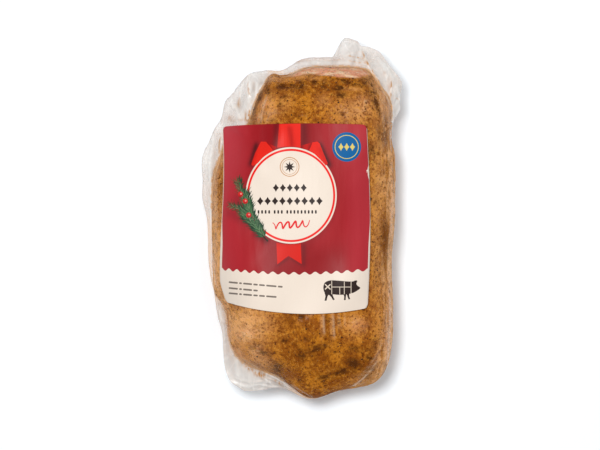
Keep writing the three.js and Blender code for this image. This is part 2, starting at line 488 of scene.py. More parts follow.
class Signal:
    """An output socket whose arithmetic adds Math nodes to its tree."""

    def __init__(self, tree: "NodeTree", socket: bpy.types.NodeSocket) -> None:
        """Wraps an output socket of a tree."""
        self.tree = tree
        self.socket = socket

    def other(self, output: str | int) -> "Signal":
        """Another output of the same node."""
        return Signal(self.tree, self.socket.node.outputs[output])

    def _math(self, operation: str, *values: "Signal | float") -> "Signal":
        """Adds a Math node of an operation on values."""
        return self.tree.node("ShaderNodeMath", {"operation": operation}, dict(enumerate(values)))

    def __add__(self, other: "Signal | float") -> "Signal":
        """The sum of two values."""
        return self._math("ADD", self, other)

    __radd__ = __add__

    def __sub__(self, other: "Signal | float") -> "Signal":
        """The difference of two values."""
        return self._math("SUBTRACT", self, other)

    def __rsub__(self, other: float) -> "Signal":
        """A number less this value."""
        return self._math("SUBTRACT", other, self)

    def __mul__(self, other: "Signal | float") -> "Signal":
        """The product of two values."""
        return self._math("MULTIPLY", self, other)

    __rmul__ = __mul__

    def __truediv__(self, other: float) -> "Signal":
        """This value over a number."""
        return self._math("DIVIDE", self, other)

    def __mod__(self, other: float) -> "Signal":
        """What whole multiples of a number leave of this value."""
        return self._math("MODULO", self, other)

    def __pow__(self, power: float) -> "Signal":
        """This value to a power."""
        return self._math("POWER", self, power)

    def least(self, other: "Signal | float") -> "Signal":
        """The smaller of two values."""
        return self._math("MINIMUM", self, other)

    def most(self, other: "Signal | float") -> "Signal":
        """The larger of two values."""
        return self._math("MAXIMUM", self, other)

    def cosine(self) -> "Signal":
        """The cosine of this value in radians."""
        return self._math("COSINE", self)

    def bearing(self, across: "Signal") -> "Signal":
        """The angle in radians of a way that goes up by this value and across by another."""
        return self._math("ARCTAN2", self, across)

    def root(self) -> "Signal":
        """The square root of this value."""
        return self._math("SQRT", self)

    def size(self) -> "Signal":
        """This value without its sign."""
        return self._math("ABSOLUTE", self)

    def step(self, low: float, high: float) -> "Signal":
        """A smooth change from 0 where this value is low to 1 where it's high."""
        settings = {"interpolation_type": "SMOOTHSTEP", "clamp": True}
        return self.tree.node("ShaderNodeMapRange", settings, {0: self, 1: low, 2: high, 3: 0.0, 4: 1.0})


class NodeTree:
    """A node tree, with one way to add a node."""

    def __init__(self, tree: bpy.types.NodeTree) -> None:
        """Keeps the tree's nodes and links."""
        self._nodes = tree.nodes
        self._links = tree.links

    def node(
        self,
        kind: str,
        settings: Mapping[str, object] | None = None,
        inputs: Mapping[str | int, object] | None = None,
        output: str | int = 0,
    ) -> Signal:
        """Adds a node.

        Args:
            kind: The node's type.
            settings: Its properties, which are set first.
            inputs: Values or signals for its sockets, by name or number.
            output: The socket to return.

        Returns:
            One of its outputs.
        """
        made = self._nodes.new(kind)
        for key, value in (settings or {}).items():
            setattr(made, key, value)
        self._feed(made, inputs or {})
        return Signal(self, made.outputs[output])

    def _feed(self, node: bpy.types.Node, inputs: Mapping[str | int, object]) -> None:
        """Sets or links a node's input sockets.

        Args:
            node: The node.
            inputs: Values or signals, by socket.
        """
        for key, value in inputs.items():
            socket = node.inputs[key]
            if isinstance(value, Signal):
                self._links.new(value.socket, socket)
            elif isinstance(value, tuple) and socket.type == "RGBA":
                socket.default_value = (*value, 1.0)
            else:
                socket.default_value = value


class Tree(NodeTree):
    """A material's node tree, which ends in a Principled shader."""

    def __init__(self, name: str) -> None:
        """Starts the material.

        Args:
            name: The material's name.
        """
        self.material = bpy.data.materials.new(name)
        self.material.use_nodes = True
        super().__init__(self.material.node_tree)
        self._shader = self._nodes["Principled BSDF"]
        self._where = self.node("ShaderNodeTexCoord", output="Object")

    def plan(self, place: Frame) -> tuple[Signal, ...]:
        """The X and Y of places on the piece in the pack's plan, in millimetres."""
        x = self.node("ShaderNodeSeparateXYZ", inputs={0: self._where})
        return tuple((x.other(i) - float(place.shift[i])) * (1 / MM) for i in (0, 1))

    def noise(
        self, size: float, detail: float = 2.0, stretch: Plan = (1.0, 1.0), roughness: float = 0.5
    ) -> Signal:
        """Noise from 0 to 1.

        Args:
            size: The size of its blotches in millimetres.
            detail: How many finer layers it has.
            stretch: How much longer the blotches are along X and Y.
            roughness: How strong the finer layers are.

        Returns:
            The noise's value.
        """
        scale = (1 / stretch[0], 1 / stretch[1], 1.0)
        spot = self.node("ShaderNodeMapping", inputs={"Vector": self._where, "Scale": scale})
        values = {"Vector": spot, "Scale": 1 / (size * MM), "Detail": detail, "Roughness": roughness}
        return self.node("ShaderNodeTexNoise", inputs=values)

    def marked(self, name: str) -> Signal:
        """A value stored on the piece's points."""
        return self.node("ShaderNodeAttribute", {"attribute_name": name}, output="Fac")

    def mix(self, factor: Signal, first: Signal | Colour, second: Signal | Colour) -> Signal:
        """Mixes two colours by a factor."""
        settings = {"data_type": "RGBA", "clamp_factor": True}
        return self.node("ShaderNodeMix", settings, {0: factor, 6: first, 7: second}, output=2)

    def bump(self, height: Signal, depth: float) -> Signal:
        """A normal bumped by a height from 0 to 1, of a depth in millimetres."""
        return self.node("ShaderNodeBump", inputs={"Height": height, "Distance": depth * MM})

    def surface(self, inputs: Mapping[str, object]) -> Material:
        """Feeds the shader and returns the finished material."""
        self._feed(self._shader, inputs)
        return self.material


# ---- Finishes ----


@dataclass(frozen=True)
class GlazedMeat:
    """The roasted glaze: honey gold with a fine dark grain, scorched in patches and peppered."""

    honey: Colour = (0.565, 0.195, 0.012)
    amber: Colour = (0.32, 0.085, 0.003)
    deep: Colour = (0.24, 0.066, 0.001)
    tan: Colour = (0.86, 0.42, 0.15)
    umber: Colour = (0.15, 0.034, 0.001)
    brown: Colour = (0.28, 0.073, 0.003)
    scorch: Colour = (0.07, 0.017, 0.001)
    pink: Colour = (0.84, 0.36, 0.22)
    cream: Colour = (0.97, 0.72, 0.48)
    peach: Colour = (0.98, 0.53, 0.24)
    russet: Colour = (0.56, 0.22, 0.045)
    # Partly painted light: a pale colour for the fatty line at the lower right silhouette, which also stands
    # in for a highlight, and for the lightened left side.
    fat: Colour = (1.0, 0.6, 0.33)
    gold: Colour = (0.68, 0.3, 0.045)
    gloss: float = 0.06

    def material(self) -> Material:
        """Builds the material.

        Returns:
            A material that reads the marks tan, deep, edge, fat, scorch and pink; the tan, edge and fat marks
            are partly painted light.
        """
        tree = Tree("glazed_meat")
        tan, deep, edge = map(tree.marked, ("tan", "deep", "edge"))
        fat, scorch, pink = map(tree.marked, ("fat", "scorch", "pink"))
        blotch = tree.noise(7, 5.0, stretch=(1.0, 1.4), roughness=0.7)
        grain = tree.noise(1.8, 4.0, stretch=(1.0, 1.15), roughness=0.8)
        mottle = tree.noise(3.6, 4.0, stretch=(1.1, 1.0), roughness=0.65)
        charred = tree.noise(3.2, 4.0, stretch=(1.5, 1.0), roughness=0.78).step(0.42, 0.57)
        base = tree.mix(blotch.step(0.42, 0.57), self.amber, self.honey)
        # Partly painted light: the tan mix lightens the sides and carries highlight streaks from under the
        # label, the side streaks stand in for highlights along the film's folds, and the pale rim mix stands
        # in for a highlight at the silhouette and the lit left side.
        base = tree.mix((tan * (0.35 + blotch * 1.1)).least(1.0), base, self.tan)
        base = tree.mix(edge * 0.85, base, self._edge(tree))
        base = tree.mix(deep * (1 - blotch.step(0.46, 0.64)) * 0.9, base, self.deep)
        base = tree.mix(fat, base, self.fat)
        base = tree.mix(pink, base, self._cut_meat(tree))
        base = tree.mix((1 - mottle.step(0.4, 0.5)) * (1 - pink) * 0.45, base, self.brown)
        base = tree.mix(grain.step(0.54, 0.64) * (1 - deep * 0.8) * 0.85, base, self.gold)
        smooth = pink.most(edge).most(fat)
        dark = (1 - grain.step(0.36, 0.475)) * (1 - smooth * 0.6)
        base = tree.mix(dark * (1 - tan * tan * 0.4).most(0.45), base, self.umber)
        burnt = (scorch * (0.32 + charred * 1.25)).least(1.0)
        base = tree.mix(burnt * 0.9, base, self.scorch)
        base = tree.mix(self._pepper(tree) * (0.85 - tan * tan * 0.4).most(0.3), base, self.scorch)
        facing = tree.node("ShaderNodeLayerWeight", inputs={"Blend": 0.5}, output="Facing")
        return tree.surface({
            "Base Color": base,
            "Roughness": 0.45 + grain * 0.3,
            "Specular IOR Level": 0.03,
            "Subsurface Weight": 0.04,
            "Subsurface Radius": (0.003, 0.0012, 0.0006),
            "Subsurface Scale": 0.4,
            "Coat Weight": (1 - facing) * self.gloss,
            "Coat Roughness": 0.2,
            "Normal": tree.bump(grain, 0.65),
        })

    def _edge(self, tree: Tree) -> Signal:
        """The long sides' colour: streaks along the ham of russet crust and peach, the peach partly pale
        fatty crust and partly a painted highlight of the film's folds.
        """
        streaks = tree.noise(3.0, 2.0, stretch=(0.5, 6.0), roughness=0.5)
        return tree.mix(streaks.step(0.34, 0.6), self.russet, self.peach)

    def _cut_meat(self, tree: Tree) -> Signal:
        """The cut meat's colour: pink with cream fatty marbling, streaked along the cut.

        Args:
            tree: The material's tree.

        Returns:
            The colour.
        """
        streaks = tree.noise(2.6, 3.0, stretch=(3.4, 1.0), roughness=0.65)
        base = tree.mix(streaks.step(0.44, 0.6), self.pink, self.cream)
        return tree.mix((1 - streaks.step(0.3, 0.4)) * 0.45, base, self.amber)

    @staticmethod
    def _pepper(tree: Tree) -> Signal:
        """Specks of pepper and herbs, fine ones all over and coarser ones here and there.

        Args:
            tree: The material's tree.

        Returns:
            Their strength.
        """
        fine = tree.noise(0.85, 1.0, stretch=(1.0, 1.1)).step(0.61, 0.67)
        coarse = tree.noise(1.35, 1.0, stretch=(1.0, 1.1)).step(0.63, 0.68)
        scattered = tree.noise(9, 1.0)
        sparse = 1 - scattered.step(0.3, 0.55)
        return (fine * scattered.step(0.4, 0.62) * 0.75).most(coarse * sparse * 0.9)


@dataclass(frozen=True)
class ClearFilm:
    """Clear soft film, milky where it's creased or doubled, with part of that milkiness a painted highlight,
    and stained where juice lies under it.
    """

    milky: Colour = (1.0, 0.96, 0.91)
    dim: Colour = (0.96, 0.93, 0.88)
    stain: Colour = (0.52, 0.25, 0.085)
    peach: Colour = (1.0, 0.62, 0.32)
    juice: Colour = (0.74, 0.39, 0.15)
    sheen: float = 0.12

    def material(self) -> Material:
        """Builds the material.

        Returns:
            A material that reads the marks haze, stain, juice and tight.
        """
        tree = Tree("clear_film")
        haze, stain, wet, tight = map(tree.marked, ("haze", "stain", "juice", "tight"))
        cloud = tree.noise(9, 1.5, stretch=(0.8, 1.5), roughness=0.4)
        wrinkles = tree.noise(11, 1.0, stretch=(0.5, 1.5), roughness=0.5)
        lines = 1 - ((wrinkles - 0.5).size() * 16).least(1.0)
        streak = tree.noise(2.6, 2.0, stretch=(0.7, 2.0))
        ragged = tree.noise(2.8, 4.0, roughness=0.7)
        juice = (wet + (ragged - 0.5) * 1.8).step(0.5, 0.95) * wet.step(0.02, 0.3)
        stained = (stain * (0.25 + streak.step(0.38, 0.6))).least(1.0)
        grazing = tree.node("ShaderNodeLayerWeight", inputs={"Blend": 0.25}, output="Fresnel")
        alpha = haze * (0.66 + cloud * 0.5 + lines * 0.15) + grazing * (haze * 3).least(1.0) * self.sheen
        alpha = (alpha + stained * 0.32).most(juice * (0.3 + ragged * 0.5)).least(0.95)
        colour = tree.mix(cloud.step(0.38, 0.58), self.dim, self.milky)
        colour = tree.mix(lines * 0.3, colour, self.milky)
        # Painted highlight in part: over the ham the film's folds and veils turn peach, standing in for warm
        # highlights on the wet film.
        colour = tree.mix(tight * (1 - haze.step(0.5, 0.95)) * 0.85, colour, self.peach)
        colour = tree.mix(stained, colour, self.stain)
        colour = tree.mix(juice, colour, self.juice)
        return tree.surface({
            "Base Color": colour,
            "Roughness": 0.26,
            "Specular IOR Level": 0.6,
            "Alpha": alpha,
            "Normal": tree.bump(cloud, 0.12),
        })


@dataclass(frozen=True)
class Ink:
    """A plain printed colour with the paper's faint grain in it.

    A piece with the mark shade takes its second colour where the mark is strong.
    """

    name: str
    colour: Colour
    shade: Colour = (0.02, 0.01, 0.01)

    def material(self) -> Material:
        """Builds the material.

        Returns:
            A material that reads the mark shade.
        """
        tree = Tree(self.name)
        grain = tree.noise(0.5, 2.0)
        deeper = tuple(0.88 * part for part in self.colour)
        base = tree.mix(grain, self.colour, deeper)
        base = tree.mix(tree.marked("shade").least(1.0), base, self.shade)
        return tree.surface({
            "Base Color": base,
            "Roughness": 0.42,
            "Specular IOR Level": 0.12,
            "Normal": tree.bump(grain, 0.02),
        })


# ---- The ham ----


@dataclass(frozen=True)
class Patch:
    """A soft oval patch in plan: its middle, half sizes, strength and turn in degrees."""

    x: float
    y: float
    across: float
    along: float
    strength: float
    turned: float = 0.0

    def over(self, x: Array, y: Array) -> Array:
        """The patch's strength.

        Args:
            x: The places' X.
            y: The places' Y.

        Returns:
            The strengths.
        """
        cos, sin = math.cos(math.radians(self.turned)), math.sin(math.radians(self.turned))
        dx, dy = x - self.x, y - self.y
        across = (dx * cos + dy * sin) / self.across
        along = (dy * cos - dx * sin) / self.along
        return self.strength * np.exp(-(across**2) - along**2)


@dataclass(frozen=True)
class Streak:
    """A soft streak from one place in plan to another: its ends, width, strength and sideways bow."""

    from_x: float
    from_y: float
    to_x: float
    to_y: float
    width: float
    strength: float
    bow: float = 0.0

    def over(self, x: Array, y: Array) -> Array:
        """The streak's strength.

        Args:
            x: The places' X.
            y: The places' Y.

        Returns:
            The strengths.
        """
        run_x, run_y = self.to_x - self.from_x, self.to_y - self.from_y
        length = math.hypot(run_x, run_y)
        ux, uy = run_x / length, run_y / length
        dx, dy = x - self.from_x, y - self.from_y
        along = (dx * ux + dy * uy) / length
        bowed = self.bow * 4 * np.clip(along, 0, 1) * (1 - np.clip(along, 0, 1))
        aside = dy * ux - dx * uy - bowed
        ends = smoothstep(-0.08, 0.18, along) * smoothstep(1.08, 0.82, along)
        return self.strength * ends * np.exp(-((aside / self.width) ** 2))


def strongest(marks: Sequence[Patch | Streak], x: Array, y: Array) -> Array:
    """The strongest of several patches and streaks at places in plan."""
    return np.max([mark.over(x, y) for mark in marks], axis=0)


@dataclass
class Ham:
    """The ham itself: a loaf with a lumpy glazed crust, and paler cut meat at its square end."""

    maker: Maker
    stations: int = 620
    top_rings: int = 116
    under_rings: int = 34
    top_gather: float = 1.25
    under_gather: float = 0.7
    inset: float = 0.5
    spread: float = 1.0
    lump: float = 0.55
    lump_size: float = 15.0
    flake: float = 0.55
    flake_size: float = 6.5
    pore: float = 0.22
    pore_size: float = 2.4
    scorch_depth: float = 0.55
    least_z: float = 0.15
    rim_y: float = 81.8
    scorches: tuple[Patch, ...] = several(
        Patch,
        (-6.5, 76.4, 5.5, 1.5, 1.15, -5), (-1.2, 76.8, 1.9, 2.6, 1.1), (-12.5, 76.5, 3.5, 1.6, 0.8),
        (6.6, 78.7, 1.7, 1.1, 1.2), (11.8, 77.1, 2, 2.4, 0.9), (20.5, 75.2, 3, 1.4, 1.3),
        (16.5, 76.2, 2.5, 1.2, 0.5), (24.7, 79.3, 3, 1.3, 1.4, -25), (34.2, 79, 2.8, 2.2, 1.3, 20),
        (29.8, 77.6, 2.6, 1.2, 1), (37.8, 80.9, 1.4, 1.4, 0.9), (39.6, 77, 1, 1.7, 0.8),
        (40.4, 73, 2, 2.6, 0.8), (42.6, 66, 1.4, 4.4, 1.25, 18), (44.2, 60.5, 1.2, 3.2, 0.6),
        (22, 71, 3.2, 2.4, 0.8), (22, 60.5, 4, 1.4, 0.4), (-20, 73.6, 1, 3.2, 1, 10),
        (-25.5, 69.5, 1.2, 4, 1, -25), (-29, 62.5, 1.2, 3, 1.1, -15), (-11.4, 70.2, 2.4, 0.9, 0.7, 15),
        (-13.2, 66, 1.3, 1.7, 1.2), (-1, 58.6, 2.6, 1.2, 0.6), (-18, 56.6, 2.4, 1.2, 0.5),
        (3.5, 82.4, 0.9, 0.5, 0.8), (46, 50, 2.5, 6, 0.45), (40, 40, 2, 3.5, 0.6),
        (47.6, -12, 1.8, 14, 0.28), (38, -89, 6, 3, 0.5, 40), (42, 9, 2, 3, 0.5), (-0.5, -78, 3.5, 3, 0.85),
        (6, -75.6, 6, 1.8, 0.75, 15), (13, -73.5, 3.5, 1.8, 0.5), (29.5, -84, 4.5, 3.2, 0.95, -20),
        (21.5, -89, 5, 2.4, 0.95, 25), (12.4, -91.4, 4, 1.8, 0.85, 5), (29.7, -76, 3.5, 2.2, 0.75, 8),
        (38, -81.5, 2.8, 2.4, 0.95), (37.5, -75.5, 3, 1.6, 0.6), (-15, -86.5, 3.6, 3, 1, -30),
        (-22.5, -77.8, 5, 2.6, 0.6, -20), (-28, -74, 3, 2.5, 0.4), (-1.5, -56.4, 2.4, 1.6, 0.95),
        (14, -58, 1.4, 2, 0.9), (-10.8, -70.5, 2.2, 1.6, 0.8), (42, -73, 2.5, 4, 0.5),
        (-2.1, -93.7, 1.3, 1, 1.1), (20, 80.4, 13, 0.6, 0.6, -2), (20.5, -59.4, 1, 1.2, 1.1),
        (1.6, -70, 1.2, 1, 0.9), (18.6, -77, 1.2, 1, 0.9),
    )
    blush: tuple[Patch, ...] = several(
        Patch,
        (-22, 66, 3.2, 3, 0.5, 20), (-19.5, 60.5, 4, 4, 0.3), (-25.5, 58, 2.2, 4, 0.45, -20),
        (-33, -67, 6, 4, 0.35), (-27, -76, 5, 3, 0.35, -20), (-37.5, -78, 2.5, 3, 0.4),
        (35, 66, 4, 5, 0.25), (31, -61, 5, 3.5, 0.35),
    )
    # Paler crust, partly painted light: the long patches down both sides lighten them where they turn from
    # the lamps, and the four thin upright streaks below the label are painted highlights of the film's
    # creases.
    pale: tuple[Patch, ...] = several(
        Patch,
        (-34, -62, 14, 12, 1.35, 20), (-26, -80, 9, 4, 0.8, -30), (-49, -22, 5, 30, 1.1),
        (30, -62, 7, 7, 0.35), (30, 62, 12, 8, 0.6), (-21, 63.5, 7, 9, 0.55, -20), (-12, 66, 6, 6, 0.3),
        (42, 79, 3, 6, 0.8, 30), (12, 68, 5, 4, 0.35), (49, 62, 3, 16, 0.7, 8), (-19, 83, 8, 3, 0.7),
        (-2, 82.5, 9, 2, 0.5), (28, 74.6, 6, 1.2, 0.6), (-14, 80.3, 8, 1.3, 0.5), (7, 80.8, 4, 1.2, 0.5),
        (44, 5, 5, 75, 0.55), (44.5, 20, 4, 10, 0.9), (-46.5, 5, 2.5, 60, 0.5), (-30, -64, 14, 8, 0.4),
        (-38, -73, 8, 8, 0.7), (46.5, 62, 2, 9, 0.9, 3), (10.6, -60.5, 0.8, 6.5, 0.9),
        (16.4, -61, 0.9, 7, 1), (20.4, -59.5, 0.8, 4.5, 0.8), (24, -59, 0.7, 4, 0.7),
        (29.5, -60, 5, 5, 0.5),
    )
    deeper: tuple[Patch, ...] = several(
        Patch,
        (-4, -60, 9, 9, 1), (13.6, -60, 1.4, 6, 1), (6, -74, 16, 11, 0.9), (22, -86, 16, 8, 0.7),
        (-8, -82, 10, 9, 0.6), (30, -78, 9, 8, 0.6), (-4, 60, 8, 5, 0.5), (-12, 75, 7, 4, 0.6),
        (2, 74, 10, 6, 0.4), (34, 72, 9, 6, 0.4), (17, 76, 5, 3, 0.4), (-47.5, 19, 3, 7, 1),
        (47, -12, 2.6, 17, 1.15), (47.4, 50, 1.8, 10, 1.3), (49, -10, 2.4, 12, 0.9),
    )

    def _height(self, x: Array, y: Array, z: Array) -> Array:
        """How far the crust stands out, in millimetres.

        Args:
            x: The places' X.
            y: The places' Y.
            z: The places' Z.

        Returns:
            The heights.
        """
        spot = np.stack([x, y, z], -1)
        lumps = Noise(3).layered(spot / self.lump_size, 3) * self.lump
        flakes = (Noise(5).creased(spot / self.flake_size, 2) - 0.75) * self.flake
        pores = Noise(8).layered(spot / self.pore_size, 2) * self.pore
        return lumps + flakes + pores - self.scorch_depth * strongest(self.scorches, x, y)

    def build(self) -> Piece:
        """Builds and dresses the ham.

        Returns:
            The ham, which stands for the sealed bag's solid together with the film.
        """
        angles = FORM.outline_angles(self.stations)
        top = 1 - (1 - np.linspace(1 / self.top_rings, 1, self.top_rings)[:, None]) ** self.top_gather
        under = np.linspace(1, 0, self.under_rings + 1)[1:-1, None] ** self.under_gather
        x, y = self._rings(np.concatenate([top, under]), angles)
        over = FORM.ham_top(top, angles, x[: len(top)], y[: len(top)])
        below = np.maximum(0.0, FORM.ham_under(under)) + 0 * angles
        points = self._textured(np.stack([x, y, np.concatenate([over, below])], -1))
        first, last = points[0].mean(axis=0), points[-1].mean(axis=0)
        piece = self.maker.rings("ham", first, points, last)
        self._mark(piece, np.concatenate([first[None], points.reshape(-1, 3), last[None]]))
        return self.maker.finish(piece, GlazedMeat().material(), "glazed_ham", "sealed_bag")

    def _rings(self, share: Array, angles: Array) -> tuple[Array, Array]:
        """Rings of places in plan at shares of the ham's reach."""
        spread = FORM.filled(share, angles) + self.spread * share**FORM.fill_power
        return placed(FORM.ham_reach(angles) * share + spread, angles)

    def _textured(self, points: Array) -> Array:
        """Sets the loaf in under the film and roughens its crust.

        Args:
            points: The smooth loaf's rings of points.

        Returns:
            The crust's rings of points.
        """
        along = np.gradient(points, axis=0)
        normal = np.cross(along, np.roll(points, -1, axis=1) - np.roll(points, 1, axis=1))
        normal /= np.maximum(np.linalg.norm(normal, axis=-1, keepdims=True), 1e-9)
        x, y, z = np.moveaxis(points, -1, 0)
        under = smoothstep(3.0, 0.5, z)
        out = (self._height(x, y, z) - self.inset) * (1 - under) - self.inset * under * 0.3
        moved = points + normal * out[..., None]
        moved[..., 2] = np.maximum(moved[..., 2], self.least_z)
        return moved

    def _mark(self, piece: Piece, points: Array) -> None:
        """Marks where the ham is scorched, tan, deep, russet, pale along its rims, and pink; the tan, russet
        and rim marks are partly painted light.

        Args:
            piece: The ham.
            points: Its points in the plan.
        """
        x, y, z = points.T
        wander = Noise(12).layered(points / 9, 2)
        share = np.hypot(x, y) / FORM.ham_reach(np.degrees(np.arctan2(y, x)))
        underside = smoothstep(9, 3, z)
        rim = self.rim_y + 0.9 * np.sin(x / 7 + 0.8) + 1.3 * wander
        cut_face = smoothstep(0, 1.2, y - rim) * smoothstep(-16, -2, x) * smoothstep(41, 36, x)
        cut_face = cut_face * smoothstep(1.002, 0.992, share)
        # Painted light: the crust is paler near the rims on both long sides, where the loaf turns away from
        # the lamps.
        painted_rim_light = smoothstep(0.9, 1.0, share) * smoothstep(20, 40, np.abs(x)) * (1.0 + 0.5 * wander)
        # Partly painted highlight: peach streaks down the right side, lightened where it turns from the
        # lamps.
        edge = smoothstep(0.84, 0.96, share) * smoothstep(38, 46, x) * (0.9 + 0.4 * wander)
        # Partly painted light: a pale line right at the silhouette on the lower right, partly fatty crust and
        # partly a highlight, and a paler strip down the left side where it faces the lamps.
        right = smoothstep(0.958, 0.975, share) * smoothstep(44, 48, x) * smoothstep(34, 12, y)
        left = smoothstep(0.93, 0.965, share) * smoothstep(-40, -44, x) * smoothstep(44, 30, y) * 0.6
        fat = (right + left) * smoothstep(9, 14, z) * (0.75 + 0.8 * wander)
        blush = strongest(self.blush, x, y) * (0.8 + 0.8 * wander)
        self.maker.mark(
            piece,
            scorch=strongest(self.scorches, x, y) * (1 - underside),
            tan=np.max([strongest(self.pale, x, y), painted_rim_light, underside * 0.7], axis=0),
            deep=strongest(self.deeper, x, y) * (1 - underside),
            edge=np.clip(edge, 0, 1) * smoothstep(12, 24, z),
            fat=np.clip(fat, 0, 0.85),
            pink=np.clip(np.max([cut_face, blush, underside * 0.45], axis=0), 0, 1),
        )


# ---- The film ----


@dataclass(frozen=True)
class Fold(Streak):
    """A crest in the film: a streak whose strength is its height, with a whiteness and a stain; the whiteness
    is partly the crease's milkiness and partly a painted highlight.
    """

    haze: float = 0.2
    stain: float = 0.0


